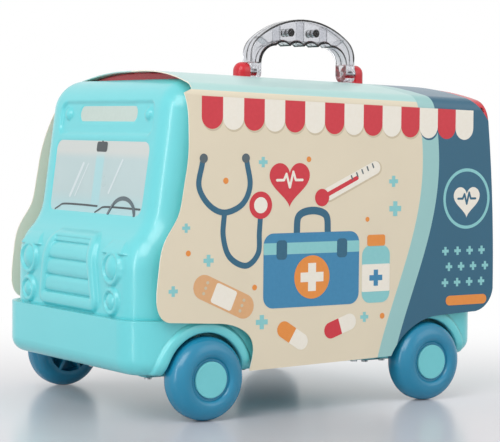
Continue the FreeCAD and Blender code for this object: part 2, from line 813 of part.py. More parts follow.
# Arched sections shared by the roof and the sleeve
def dome_radius(half_width, shoulder, sag):
    # Radius of the arc that falls by the sag between the ridge and the shoulder.
    reach = half_width - shoulder - ridge_flat
    return (reach ** 2 + sag ** 2) / (2 * sag) + shoulder


def arch_block(x0, x1, half_width, ridge, radius, shoulder, low):
    # Flat along the ridge, a wide arc to each side, a rounded shoulder and upright walls.
    reach = half_width - shoulder - ridge_flat
    centre_z = ridge - radius
    shoulder_z = centre_z + math.sqrt((radius - shoulder) ** 2 - reach ** 2)
    lean = math.asin(reach / (radius - shoulder))
    turn = (lean + math.pi / 2) / 2
    drop = ridge_slope * (x1 - x0)

    def on_dome(side, angle):
        across = ridge_flat + radius * math.sin(angle)
        return Vector(x0, side * across, centre_z + radius * math.cos(angle))

    def on_shoulder(side, angle):
        across = half_width - shoulder + shoulder * math.sin(angle)
        return Vector(x0, side * across, shoulder_z + shoulder * math.cos(angle))

    edges = []
    for side in (-1, 1):
        edges.append(Part.Arc(on_dome(side, 0), on_dome(side, lean / 2), on_dome(side, lean)).toShape())
        bend = Part.Arc(on_dome(side, lean), on_shoulder(side, turn), on_shoulder(side, math.pi / 2))
        edges.append(bend.toShape())
        edges.append(Part.makeLine(on_shoulder(side, math.pi / 2), Vector(x0, side * half_width, low)))
    edges.append(Part.makeLine(on_dome(-1, 0), on_dome(1, 0)))
    edges.append(Part.makeLine(Vector(x0, -half_width, low), Vector(x0, half_width, low)))
    section = Part.Face(Part.Wire(Part.sortEdges(edges)[0]))
    return section.extrude(Vector(x1 - x0, 0, -drop))


def ridge_at(x):
    return ridge_height - ridge_slope * (x - sleeve_front_x)


# Roof and awnings
def roof_screw_places():
    x0 = roof_front_x + roof_screw_inset
    x1 = base_rear_x - roof_screw_inset
    y = roof_half_width - roof_rim - roof_screw_post_radius
    return [(x, side * y) for x in (x0, (x0 + x1) / 2, x1) for side in (-1, 1)]


def roof_hollow():
    x0 = roof_front_x + roof_wall
    x1 = base_rear_x - roof_wall
    half = roof_half_width - roof_rim
    top = ridge_at(x0) - roof_wall - ridge_strip_proud
    radius = dome_radius(roof_half_width, roof_shoulder, roof_sag) - roof_wall
    hollow = arch_block(x0, x1, half, top, radius, roof_shoulder, roof_apron_height)
    keep = box(handle_x - well_half_length - roof_wall, handle_x + well_half_length + roof_wall,
               -well_half_width - roof_wall, well_half_width + roof_wall,
               well_floor_height - roof_wall, overall_height)
    posts = [cylinder_z(roof_screw_post_radius, x, y, 0, overall_height) for x, y in roof_screw_places()]
    return hollow.cut([keep] + posts)


def ear(x0, face_x):
    x1 = x0 + ear_thick
    low = well_floor_height - roof_wall
    block = box(x0, x1, -pivot_radius, pivot_radius, low, handle_pivot_height)
    block = block.fuse(cylinder_x(pivot_radius, x0, x1, 0, handle_pivot_height)).removeSplitter()
    rim = []
    for edge in block.Edges:
        bound = edge.BoundBox
        if bound.XLength < slip_gap and abs(bound.XMin - face_x) < slip_gap and bound.ZMax > low + overrun:
            rim.append(edge)
    block = block.makeFillet(ear_round, rim)
    hole = handle_pin_radius + slip_gap
    sockets = [cylinder_x(hole, start - slip_gap, end + slip_gap, 0, handle_pivot_height)
               for start, end in handle_pin_spans()]
    return block.cut(sockets)


def ridge_strip(x0, x1):
    # A low flat strip along the ridge that carries the sleeve.
    half = ridge_strip_half_width
    top = ridge_at(x0)
    low = top - roof_wall
    corners = [Vector(x0, -half, low), Vector(x0, half, low), Vector(x0, half, top), Vector(x0, -half, top)]
    face = Part.Face(Part.makePolygon(corners + corners[:1]))
    return face.extrude(Vector(x1 - x0, 0, ridge_at(x1) - top))


def roof():
    rear = roof_front_x + roof_length
    crown = ridge_at(roof_front_x) - ridge_strip_proud
    radius = dome_radius(roof_half_width, roof_shoulder, roof_sag)
    body = arch_block(roof_front_x, rear, roof_half_width, crown, radius,
                      roof_shoulder, roof_apron_height - overrun)
    body = body.fuse(ridge_strip(roof_front_x, rear - roof_rear_round))
    side = box(roof_front_x, rear, -overall_width, overall_width, roof_apron_height, ridge_height)
    corner = [edge for edge in along(side, Vector(0, 1, 0))
              if edge.CenterOfMass.x > handle_x and edge.CenterOfMass.z > roof_seat_height]
    body = body.common(side.makeFillet(roof_rear_round, corner))
    behind = base_rear_x + seat_gap
    under = box(front_x, behind, -overall_width, overall_width, 0, roof_seat_height)
    apron = box(behind, rear - roof_wall, roof_wall - roof_half_width, roof_half_width - roof_wall,
                0, roof_seat_height)
    well = box(handle_x - well_half_length, handle_x + well_half_length, -well_half_width, well_half_width,
               well_floor_height, overall_height)
    pilot_top = roof_seat_height + screw_bite
    pilots = [cylinder_z(screw_hole, x, y, 0, pilot_top) for x, y in roof_screw_places()]
    body = body.cut([under, apron, well, roof_hollow()] + pilots)
    front_ear = ear(handle_x - ear_outer, handle_x - ear_outer)
    rear_ear = ear(handle_x + ear_inner, handle_x + ear_outer)
    return fuse([body, front_ear, rear_ear])


def scallop_plate(x0, count, width, top, low, depth, y0, y1):
    # A plate whose lower edge is a row of round scallops.
    end = x0 + count * width
    edges = [Part.makeLine(Vector(x0, y0, low), Vector(x0, y0, top)),
             Part.makeLine(Vector(x0, y0, top), Vector(end, y0, top)),
             Part.makeLine(Vector(end, y0, top), Vector(end, y0, low))]
    for i in range(count):
        left = x0 + i * width
        middle = Vector(left + width / 2, y0, low - depth)
        edges.append(Part.Arc(Vector(left, y0, low), middle, Vector(left + width, y0, low)).toShape())
    face = Part.Face(Part.Wire(Part.sortEdges(edges)[0]))
    return face.extrude(Vector(0, y1 - y0, 0))


def awning():
    x0 = front_x + awning_setback
    length = awning_length
    top = awning_top
    low = top - awning_drop
    depth = awning_drop * awning_scallop_share
    wall = cab_half_width
    face = wall + awning_thick
    edge = face + awning_reach
    radius = (awning_reach ** 2 + awning_drop ** 2) / (2 * awning_reach)
    half_turn = math.asin(awning_drop / radius) / 2
    middle = Vector(x0, edge - radius * (1 - math.cos(half_turn)), low + radius * math.sin(half_turn))
    bend = Part.Arc(Vector(x0, face, top), middle, Vector(x0, edge, low)).toShape()
    band = bend.extrude(Vector(0, -awning_thick, 0)).extrude(Vector(length, 0, 0))
    plate = scallop_plate(x0, awning_scallops, awning_scallop_width, top + overrun, low + depth, depth,
                          0, overall_width)
    flange = box(x0, x0 + length, wall, face, top - awning_flange, top)
    return band.common(plate).fuse(flange).removeSplitter()


# Handle
def handle_block(inset):
    half = handle_span / 2 - inset
    spread = handle_depth / 2 - inset
    top = overall_height - inset
    low = handle_pivot_height
    left = Vector(handle_x - half, -spread, handle_spring_height)
    right = Vector(handle_x + half, -spread, handle_spring_height)
    foot_left = Vector(left.x, -spread, low)
    foot_right = Vector(right.x, -spread, low)
    arch = Part.Arc(left, Vector(handle_x, -spread, top), right).toShape()
    rest = Part.makePolygon([right, foot_right, foot_left, left])
    block = Part.Face(Part.Wire([arch] + rest.Edges)).extrude(Vector(0, 2 * spread, 0))
    bends = [edge for edge in along(block, Vector(0, 1, 0)) if edge.CenterOfMass.z > low + overrun]
    block = block.makeFillet(handle_shoulder - inset, bends)
    if not inset:
        flat = [edge for edge in block.Edges if edge.BoundBox.YLength < slip_gap]
        block = block.makeFillet(handle_edge, [edge for edge in flat if edge.BoundBox.ZMax > low + overrun])
    return block.cut(grip_opening(inset))


def grip_opening(inset):
    # Rounded at its upper corners, with finger grooves along the middle.
    half = handle_span / 2 - handle_leg_width
    middle = half - grip_corner
    reach = handle_depth / 2 + overrun
    low = handle_pivot_height - overrun
    top = grip_underside + inset
    block = box(handle_x - half - inset, handle_x + half + inset, -reach, reach, low, top)
    corners = [edge for edge in along(block, Vector(0, 1, 0)) if edge.CenterOfMass.z > handle_pivot_height]
    block = block.makeFillet(grip_corner + inset, corners)
    grooves = scallop_plate(handle_x - middle, grip_scallops, 2 * middle / grip_scallops, low, top,
                            -grip_scallop_depth, -reach, reach)
    return block.fuse(grooves).removeSplitter()


def handle_screw_places():
    return [handle_x - handle_screw_half_pitch, handle_x + handle_screw_half_pitch]


def handle_whole():
    body = handle_block(0)
    hollow = handle_block(handle_wall)
    bar = box(front_x, rear_x, -overall_width, overall_width, 0, handle_pivot_height + pivot_radius)
    bosses = [cylinder_y(handle_boss_radius, x, -handle_depth, handle_depth, handle_screw_height)
              for x in handle_screw_places()]
    body = body.cut(hollow.cut([bar] + bosses))
    inner = handle_span / 2 - handle_leg_width
    outer = handle_span / 2
    for x0 in (handle_x - outer, handle_x + inner):
        knuckle = cylinder_x(pivot_radius, x0, x0 + handle_leg_width, 0, handle_pivot_height)
        body = body.fuse(knuckle)
    body = body.removeSplitter()
    hole = handle_pin_radius + turn_gap
    for start, end in handle_pin_spans():
        body = body.cut(cylinder_x(hole, start - slip_gap, end + slip_gap, 0, handle_pivot_height))
    return body


def handle_pin_spans():
    front = handle_x - ear_outer + ear_hide
    rear = handle_x + ear_outer - ear_hide
    reach = ear_thick - ear_hide + ear_gap + handle_leg_width - ear_hide
    return [(front, front + reach), (rear - reach, rear)]


def handle_screw(x):
    face = handle_depth / 2
    head = cylinder_y(screw_head_radius, x, face - screw_head_thick, face, handle_screw_height)
    tip = handle_wall - face
    shank = cylinder_y(screw_radius, x, tip, face - screw_head_thick, handle_screw_height)
    return head.fuse(shank).removeSplitter()


def handle_half(side):
    y0, y1 = (-overall_width, 0) if side < 0 else (0, overall_width)
    body = handle_whole().common(box(front_x, rear_x, y0, y1, 0, overall_height))
    face = handle_depth / 2
    for x in handle_screw_places():
        shank = cylinder_y(screw_hole, x, handle_wall - face, face, handle_screw_height)
        pocket = cylinder_y(screw_head_radius + slip_gap, x, face - screw_head_thick, face + overrun,
                            handle_screw_height)
        body = body.cut([shank, pocket])
    return body


# Sleeve
def sheet_height(share):
    return sleeve_bottom + share * (ridge_height + card_thick - sleeve_bottom)


def front_point(setback, share):
    return Vector(sleeve_front_x + setback, -overall_width, sheet_height(share))


def rear_point(setback, share):
    return Vector(rear_x - setback, -overall_width, sheet_height(share))


def low_point(x, above):
    return Vector(x, -overall_width, sleeve_bottom + above)


def curve_through(points):
    curve = Part.BSplineCurve()
    curve.interpolate(points)
    return curve.toShape()


def sleeve_outline():
    # Side view of the sheet, with the S-shaped front edge and the cut-outs over the wheels.
    front = [front_point(*pair) for pair in zip(front_setbacks, front_shares)]
    notch = front_point(notch_setback, notch_share)
    arch1 = [low_point(front_axle_x + x, above) for x, above in front_arch]
    arch2 = [low_point(rear_axle_x + x, above) for x, above in rear_arch]
    foot = low_point(rear_x - rear_foot[0], rear_foot[1])
    corner = [low_point(rear_x - x, above) for x, above in rear_corner]
    edge = [rear_point(*pair) for pair in zip(rear_edge_setbacks, rear_edge_shares)]
    top = [rear_point(*pair) for pair in zip(rear_top_setbacks, rear_top_shares)]
    high = overall_height
    lid_rear = Vector(top[-1].x, top[-1].y, high)
    lid_front = Vector(notch.x, notch.y, high)
    edges = [
        curve_through(front),
        Part.makeLine(front[-1], arch1[0]),
        curve_through(arch1),
        Part.makeLine(arch1[-1], arch2[0]),
        Part.Arc(*arch2).toShape(),
        Part.makeLine(arch2[-1], foot),
        Part.Arc(foot, *corner).toShape(),
        curve_through([corner[-1]] + edge),
        Part.Arc(edge[-1], *top).toShape(),
        Part.makeLine(top[-1], lid_rear),
        Part.makeLine(lid_rear, lid_front),
        Part.makeLine(lid_front, notch),
        Part.makeLine(notch, front[0]),
    ]
    return Part.Face(Part.Wire(edges)).extrude(Vector(0, 2 * overall_width, 0))


def scoop():
    # The top's front edge curves back, and further back on the right.
    start = front_point(notch_setback, notch_share)
    end = front_point(lean_setbacks[0], lean_shares[0])
    left = Vector(start.x, -scoop_half_width, start.z)
    right = Vector(end.x, scoop_half_width, start.z)
    corner = Vector(start.x - overrun, scoop_half_width, start.z)
    near = Vector(start.x - overrun, -scoop_half_width, start.z)
    bend = Part.Arc(left, Vector(start.x + sleeve_scoop, 0, start.z), right).toShape()
    rest = Part.makePolygon([right, corner, near, left])
    return Part.Face(Part.Wire([bend] + rest.Edges)).extrude(Vector(0, 0, overall_height - start.z))


def leaning_edge():
    # Trims the right-hand panel, whose front edge leans back towards the top.
    first, middle, last = [front_point(*pair) for pair in zip(lean_setbacks, lean_shares)]
    high = Vector(first.x, first.y, overall_height)
    ahead = Vector(sleeve_front_x - overrun, first.y, overall_height)
    below = Vector(ahead.x, first.y, last.z)
    bend = Part.Arc(first, middle, last).toShape()
    rest = Part.makePolygon([last, below, ahead, high, first])
    trim = Part.Face(Part.Wire([bend] + rest.Edges)).extrude(Vector(0, 2 * overall_width, 0))
    return trim.common(box(front_x, rear_x, scoop_half_width, overall_width, 0, overall_height))


def printed_sleeve():
    top = ridge_height + card_thick
    radius = dome_radius(sleeve_outer_half_width, sleeve_shoulder, sleeve_sag)
    outer = arch_block(sleeve_front_x, rear_x, sleeve_outer_half_width, top, radius,
                       sleeve_shoulder, sleeve_bottom - overrun)
    inner = arch_block(sleeve_front_x, rear_x, sleeve_outer_half_width - card_thick, ridge_height,
                       radius - card_thick, sleeve_shoulder - card_thick,
                       sleeve_bottom - 2 * overrun)
    slot = box(handle_x - slot_half_length, handle_x + slot_half_length, -well_half_width, well_half_width,
               roof_seat_height, overall_height)
    return outer.cut(inner).common(sleeve_outline()).cut([slot, scoop(), leaning_edge()])


def export(name, shape):
    shape.exportStep("parts/" + name + ".step")


def export_sides(name, shape):
    # Left is the -Y side of a van that faces -X.
    export(name + "_left", mirror_y(shape))
    export(name + "_right", shape)


os.makedirs("parts", exist_ok=True)

export("base_shell", base_shell())
export("chassis_plate", chassis_plate())
export("tray_insert", tray_insert())
export("axle_clamps", Part.makeCompound([axle_clamp(x, y) for x, y in clamp_places()]))
clamp_seat = axle_z - clamp_below_axle
clamp_tip = plate_top + plate_boss_height
export("axle_clamp_screws", Part.makeCompound(
    [upright_screw(x, y, clamp_seat, clamp_tip) for x, y in clamp_screw_places()]))
export("chassis_screws", Part.makeCompound(
    [upright_screw(x, y, skirt_height, plate_top + screw_bite) for x, y in post_places()]))
export("hinge_pin", hinge_rod(hinge_pin_radius, 0))

for end, x in (("front", front_axle_x), ("rear", rear_axle_x)):
    export(end + "_axle", axle(x))
    export(end + "_axle_nuts", Part.makeCompound([placed(push_nut(), x, side) for side in (-1, 1)]))
    for name, side in (("left", -1), ("right", 1)):
        export("wheel_" + end + "_" + name, placed(wheel(), x, side))
        export("hub_cap_" + end + "_" + name, placed(hub_cap(), x, side))

cab = cab_block(0)
export("upper_shell", upper_shell(cab))
export("windscreen_label", label(cab, screen_prism(seat_gap), 0))
export("name_plate", label(cab, name_prism(seat_gap), -visor_recess))
export_sides("window_frame", window_frame())
export_sides("window_pane", window_pane())

export("roof", roof())
shell_top = roof_seat_height - shell_wall
roof_screw_tip = roof_seat_height + screw_bite - overrun
export("roof_screws", Part.makeCompound(
    [upright_screw(x, y, shell_top, roof_screw_tip) for x, y in roof_screw_places()]))
export_sides("awning", awning())

export("handle_half_left", handle_half(-1))
export("handle_half_right", handle_half(1))
export("handle_screws", Part.makeCompound([handle_screw(x) for x in handle_screw_places()]))
for end, (start, stop) in zip(("front", "rear"), handle_pin_spans()):
    export("handle_pin_" + end, cylinder_x(handle_pin_radius, start, stop, 0, handle_pivot_height))

export("printed_sleeve", printed_sleeve())
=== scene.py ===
import bpy
import math
import numpy as np
from mathutils import Matrix


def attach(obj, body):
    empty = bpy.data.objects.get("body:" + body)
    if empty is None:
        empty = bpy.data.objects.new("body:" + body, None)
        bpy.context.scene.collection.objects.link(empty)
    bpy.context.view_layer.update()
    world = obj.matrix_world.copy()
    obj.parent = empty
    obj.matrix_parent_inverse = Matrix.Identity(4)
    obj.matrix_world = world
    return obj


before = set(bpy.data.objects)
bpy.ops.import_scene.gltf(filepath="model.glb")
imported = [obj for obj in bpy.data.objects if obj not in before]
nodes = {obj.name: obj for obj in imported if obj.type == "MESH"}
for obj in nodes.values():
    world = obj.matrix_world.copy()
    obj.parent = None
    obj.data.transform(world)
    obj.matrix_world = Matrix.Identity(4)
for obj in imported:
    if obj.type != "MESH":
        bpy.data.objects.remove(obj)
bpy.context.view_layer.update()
print("frame loaded:", len(nodes), "nodes")


def linearHex(text):
    # sRGB hex to linear light, channel by channel with the sRGB curve
    raw = np.array([int(text[i:i + 2], 16) for i in (1, 3, 5)]) / 255.0
    line = np.where(raw <= 0.04045, raw / 12.92, ((raw + 0.055) / 1.055) ** 2.4)
    return tuple(float(v) for v in line) + (1.0,)


def addNode(tree, kind, settings=None, links=None):
    # one node with its settings (attributes or sockets) and its incoming links
    node = tree.nodes.new("ShaderNode" + kind)
    for key, value in (settings or {}).items():
        if isinstance(key, str) and hasattr(node, key):
            setattr(node, key, value)
        else:
            node.inputs[key].default_value = value
    for key, source in (links or {}).items():
        tree.links.new(source, node.inputs[key])
    return node


def freshMaterial(name):
    # an empty material, its tree and the object's own coordinates, which place every pattern
    made = bpy.data.materials.new(name)
    made.use_nodes = True
    tree = made.node_tree
    tree.nodes.clear()
    return made, tree, addNode(tree, "TexCoord").outputs["Object"]


def scaleFor(mm):
    # noise scale whose blobs are about this many millimetres across
    return 1000.0 / mm


# what the moulded skins share: spread of the gloss, depth of the mould grain, softness of a coat
mould = {"driftDetail": 2.0, "grainDetail": 3.0, "glossSpread": 0.05, "bevelSamples": 4, "grainDeep": 0.0001,
         "coatRough": 0.14}


def mouldedPlastic(name, look):
    # moulded plastic: faint colour drift, fine mould grain in the gloss and bump, soft edges
    made, tree, place = freshMaterial(name)
    drift = addNode(tree, "TexNoise", {"Scale": scaleFor(look["driftMm"]), "Detail": mould["driftDetail"]},
                    {"Vector": place})
    grain = addNode(tree, "TexNoise", {"Scale": scaleFor(look["grainMm"]), "Detail": mould["grainDetail"]},
                    {"Vector": place})
    colour = addNode(tree, "Mix", {"data_type": "RGBA", 6: linearHex(look["dark"]),
                                   7: linearHex(look["light"])}, {0: drift.outputs["Fac"]})
    gloss = addNode(tree, "MapRange", {"To Min": look["rough"] - mould["glossSpread"],
                                       "To Max": look["rough"] + mould["glossSpread"]},
                    {"Value": grain.outputs["Fac"]})
    soft = addNode(tree, "Bevel", {"samples": mould["bevelSamples"], "Radius": look["edgeMm"] / 1000.0})
    bump = addNode(tree, "Bump", {"Strength": look["bump"], "Distance": mould["grainDeep"]},
                   {"Height": grain.outputs["Fac"], "Normal": soft.outputs["Normal"]})
    shader = addNode(tree, "BsdfPrincipled",
                     {"IOR": look["ior"], "Transmission Weight": look.get("clear", 0.0),
                      "Coat Weight": look.get("coat", 0.0), "Coat Roughness": mould["coatRough"]},
                     {"Base Color": colour.outputs[2], "Roughness": gloss.outputs["Result"],
                      "Normal": bump.outputs["Normal"]})
    addNode(tree, "OutputMaterial", {}, {"Surface": shader.outputs["BSDF"]})
    return made


# moulded ABS and PP: an even satin skin that keeps its colour and softens every edge;
# clear styrene: nearly colourless, so that its edges and ribs show as dark lines
plasticLooks = {
    "aquaAbs": {"dark": "#66D0D6", "light": "#6DD5DB", "rough": 0.34, "ior": 1.5, "driftMm": 60,
                "grainMm": 0.9, "bump": 0.03, "edgeMm": 1.2, "coat": 0.45},
    "aquaUnderAbs": {"dark": "#5CC4CD", "light": "#69CDD5", "rough": 0.45, "ior": 1.53, "driftMm": 50,
                     "grainMm": 1.0, "bump": 0.1, "edgeMm": 0.8},
    "creamPp": {"dark": "#E6DCC2", "light": "#EFE6CF", "rough": 0.42, "ior": 1.49, "driftMm": 50,
                "grainMm": 0.9, "bump": 0.08, "edgeMm": 1.2},
    "blueAbs": {"dark": "#177EA2", "light": "#2088AC", "rough": 0.24, "ior": 1.53, "driftMm": 30,
                "grainMm": 0.8, "bump": 0.05, "edgeMm": 0.8},
    "capAbs": {"dark": "#6FCBD1", "light": "#79D2D8", "rough": 0.33, "ior": 1.53, "driftMm": 20,
               "grainMm": 0.8, "bump": 0.05, "edgeMm": 0.6},
    "redAbs": {"dark": "#CE1226", "light": "#DA1B2E", "rough": 0.26, "ior": 1.53, "driftMm": 40,
               "grainMm": 0.8, "bump": 0.05, "edgeMm": 2.2},
    "smokeStyrene": {"dark": "#E2E3E6", "light": "#EAEBEE", "rough": 0.06, "ior": 1.45, "driftMm": 30,
                     "grainMm": 1.0, "bump": 0.03, "edgeMm": 0.8, "clear": 1.0},
    "clearStyrene": {"dark": "#E4EEF0", "light": "#EDF5F6", "rough": 0.08, "ior": 1.45, "driftMm": 30,
                     "grainMm": 1.0, "bump": 0.03, "edgeMm": 0.5, "clear": 1.0},
}
plastics = {name: mouldedPlastic(name, look) for name, look in plasticLooks.items()}

zincLook = {"dark": "#A9ABAE", "light": "#C8CACC", "marksMm": 0.6, "detail": 4.0, "roughLow": 0.22,
            "roughHigh": 0.38}


def zincSteel(look):
    # bright zinc-plated steel: grey metal with fine turning marks that spread the gloss
    made, tree, place = freshMaterial("zincSteel")
    marks = addNode(tree, "TexNoise", {"Scale": scaleFor(look["marksMm"]), "Detail": look["detail"]},
                    {"Vector": place})
    colour = addNode(tree, "Mix", {"data_type": "RGBA", 6: linearHex(look["dark"]),
                                   7: linearHex(look["light"])}, {0: marks.outputs["Fac"]})
    gloss = addNode(tree, "MapRange", {"To Min": look["roughLow"], "To Max": look["roughHigh"]},
                    {"Value": marks.outputs["Fac"]})
    shader = addNode(tree, "BsdfPrincipled", {"Metallic": 1.0},
                     {"Base Color": colour.outputs[2], "Roughness": gloss.outputs["Result"]})
    addNode(tree, "OutputMaterial", {}, {"Surface": shader.outputs["BSDF"]})
    return made


# a pair of stripes in metres along the van, counted from the awning's front end
stripeLook = {"red": "#D4152A", "cream": "#EFE6D2", "pair": 0.06, "start": -0.085, "wholePairs": 20.0,
              "grainMm": 0.8, "edge": 0.0008, "bump": 0.05, "roughLow": 0.25, "roughHigh": 0.35, "ior": 1.53}


def stripedAbs(look):
    # two moulded colours side by side: scallops in red and cream by turns along the van
    made, tree, place = freshMaterial("stripedAbs")
    grain = addNode(tree, "TexNoise", {"Scale": scaleFor(look["grainMm"]), "Detail": mould["grainDetail"]},
                    {"Vector": place})
    parts = addNode(tree, "SeparateXYZ", {}, {"Vector": place})
    # number of pairs from the start, kept above 0 by some whole pairs; cream in the second half of each
    pair = addNode(tree, "Math", {"operation": "MULTIPLY_ADD", 1: 1 / look["pair"],
                                  2: look["wholePairs"] - look["start"] / look["pair"]},
                   {0: parts.outputs["X"]})
    turn = addNode(tree, "Math", {"operation": "FRACT"}, {0: pair.outputs[0]})
    cream = addNode(tree, "Math", {"operation": "GREATER_THAN", 1: 0.5}, {0: turn.outputs[0]})
    colour = addNode(tree, "Mix", {"data_type": "RGBA", 6: linearHex(look["red"]),
                                   7: linearHex(look["cream"])}, {0: cream.outputs[0]})
    soft = addNode(tree, "Bevel", {"samples": mould["bevelSamples"], "Radius": look["edge"]})
    bump = addNode(tree, "Bump", {"Strength": look["bump"], "Distance": mould["grainDeep"]},
                   {"Height": grain.outputs["Fac"], "Normal": soft.outputs["Normal"]})
    gloss = addNode(tree, "MapRange", {"To Min": look["roughLow"], "To Max": look["roughHigh"]},
                    {"Value": grain.outputs["Fac"]})
    shader = addNode(tree, "BsdfPrincipled", {"IOR": look["ior"]},
                     {"Base Color": colour.outputs[2], "Roughness": gloss.outputs["Result"],
                      "Normal": bump.outputs["Normal"]})
    addNode(tree, "OutputMaterial", {}, {"Surface": shader.outputs["BSDF"]})
    return made


# laminate over all printing, then the fields of the sleeve's print; the wave and the fold are in metres
laminate = {"ior": 1.49, "coat": 0.25, "coatRough": 0.2}
cardLook = {"waveMiddle": 0.068, "waveReach": 0.026, "waveTurn": 15.0, "waveStart": -1.35, "bandWide": 0.017,
            "foldSlope": 0.0305, "foldStart": 0.2467, "middleZ": 0.14, "cream": "#E6DAC0", "band": "#9CCBC9",
            "teal": "#1F5F7A", "top": "#B4DCD8", "back": "#FBF0DC", "fibreMm": 1.6, "fibreDetail": 4.0,
            "cloudMm": 45, "cloudDetail": 2.0, "toneLow": 0.97, "toneHigh": 1.03, "roughLow": 0.3,
            "roughHigh": 0.42, "bump": 0.05, "fibreDeep": 0.0001}


def printFields(tree, place, look):
    # colour of the printed face: cream with a top strip, then an aqua band, then teal towards the rear
    parts = addNode(tree, "SeparateXYZ", {}, {"Vector": place})
    # wave edge: middle + reach * sin(turn * z + start), compared with x
    phase = addNode(tree, "Math", {"operation": "MULTIPLY_ADD", 1: look["waveTurn"], 2: look["waveStart"]},
                    {0: parts.outputs["Z"]})
    swing = addNode(tree, "Math", {"operation": "SINE"}, {0: phase.outputs[0]})
    edge = addNode(tree, "Math", {"operation": "MULTIPLY_ADD", 1: look["waveReach"], 2: look["waveMiddle"]},
                   {0: swing.outputs[0]})
    past = addNode(tree, "Math", {"operation": "SUBTRACT"}, {0: parts.outputs["X"], 1: edge.outputs[0]})
    inBand = addNode(tree, "Math", {"operation": "GREATER_THAN", 1: 0.0}, {0: past.outputs[0]})
    inTeal = addNode(tree, "Math", {"operation": "GREATER_THAN", 1: look["bandWide"]}, {0: past.outputs[0]})
    # top strip: above a fold line that falls towards the rear
    fold = addNode(tree, "Math", {"operation": "MULTIPLY_ADD", 1: look["foldSlope"]},
                   {0: parts.outputs["X"], 2: parts.outputs["Z"]})
    onTop = addNode(tree, "Math", {"operation": "GREATER_THAN", 1: look["foldStart"]}, {0: fold.outputs[0]})
    front = addNode(tree, "Mix", {"data_type": "RGBA", 6: linearHex(look["cream"]),
                                  7: linearHex(look["top"])}, {0: onTop.outputs[0]})
    band = addNode(tree, "Mix", {"data_type": "RGBA", 7: linearHex(look["band"])},
                   {0: inBand.outputs[0], 6: front.outputs[2]})
    return addNode(tree, "Mix", {"data_type": "RGBA", 7: linearHex(look["teal"])},
                   {0: inTeal.outputs[0], 6: band.outputs[2]}).outputs[2]


def printedCard(look):
    # gloss-laminated carton: flat inks with faint fibre unevenness, plain board on the back, whose cream is
    # lightened as painted light
    made, tree, place = freshMaterial("printedCard")
    fibre = addNode(tree, "TexNoise", {"Scale": scaleFor(look["fibreMm"]), "Detail": look["fibreDetail"]},
                    {"Vector": place})
    cloud = addNode(tree, "TexNoise", {"Scale": scaleFor(look["cloudMm"]), "Detail": look["cloudDetail"]},
                    {"Vector": place})
    # outside or back of the board: the normal looks away from the middle line of the box, or towards it
    middle = addNode(tree, "VectorMath", {"operation": "MULTIPLY_ADD", 1: (0.0, 1.0, 1.0),
                                          2: (0.0, 0.0, -look["middleZ"])}, {0: place})
    normal = addNode(tree, "NewGeometry").outputs["Normal"]
    away = addNode(tree, "VectorMath", {"operation": "DOT_PRODUCT"}, {0: middle.outputs[0], 1: normal})
    outside = addNode(tree, "Math", {"operation": "GREATER_THAN", 1: 0.0}, {0: away.outputs["Value"]})
    # the back's cream is the board's own tone lightened further: painted light for the inner face, which the
    # lamps barely reach
    board = addNode(tree, "Mix", {"data_type": "RGBA", 6: linearHex(look["back"])},
                    {0: outside.outputs[0], 7: printFields(tree, place, look)})
    tone = addNode(tree, "MapRange", {"To Min": look["toneLow"], "To Max": look["toneHigh"]},
                   {"Value": cloud.outputs["Fac"]})
    colour = addNode(tree, "HueSaturation", {}, {"Value": tone.outputs["Result"], "Color": board.outputs[2]})
    gloss = addNode(tree, "MapRange", {"To Min": look["roughLow"], "To Max": look["roughHigh"]},
                    {"Value": fibre.outputs["Fac"]})
    bump = addNode(tree, "Bump", {"Strength": look["bump"], "Distance": look["fibreDeep"]},
                   {"Height": fibre.outputs["Fac"]})
    shader = addNode(tree, "BsdfPrincipled", {"IOR": laminate["ior"], "Coat Weight": laminate["coat"],
                                              "Coat Roughness": laminate["coatRough"]},
                     {"Base Color": colour.outputs["Color"], "Roughness": gloss.outputs["Result"],
                      "Normal": bump.outputs["Normal"]})
    addNode(tree, "OutputMaterial", {}, {"Surface": shader.outputs["BSDF"]})
    return made


inkSkin = {"mottleMm": 3.0, "detail": 3.0, "roughLow": 0.28, "roughHigh": 0.4}


def inkFilm(name, dark, light):
    # one flat printing ink under the laminate: nearly even, with a little mottle
    made, tree, place = freshMaterial(name)
    mottle = addNode(tree, "TexNoise", {"Scale": scaleFor(inkSkin["mottleMm"]), "Detail": inkSkin["detail"]},
                     {"Vector": place})
    colour = addNode(tree, "Mix", {"data_type": "RGBA", 6: linearHex(dark), 7: linearHex(light)},
                     {0: mottle.outputs["Fac"]})
    gloss = addNode(tree, "MapRange", {"To Min": inkSkin["roughLow"], "To Max": inkSkin["roughHigh"]},
                    {"Value": mottle.outputs["Fac"]})
    shader = addNode(tree, "BsdfPrincipled", {"IOR": laminate["ior"], "Coat Weight": laminate["coat"],
                                              "Coat Roughness": laminate["coatRough"]},
                     {"Base Color": colour.outputs[2], "Roughness": gloss.outputs["Result"]})
    addNode(tree, "OutputMaterial", {}, {"Surface": shader.outputs["BSDF"]})
    return made


# soft edges in metres: the bar by its distance from the middle, the dash and the head by their height
screenLook = {"glassDark": "#B3C8C9", "glassLight": "#BCCFCF", "mottleMm": 30.0, "detail": 1.0,
              "bar": ("#A6D2D6", 0.008, 0.005), "dash": ("#A8D0D4", 0.172, 0.152),
              "head": ("#CBD0CC", 0.195, 0.203), "roughLow": 0.26, "roughHigh": 0.32, "coat": 0.3,
              "coatRough": 0.1}


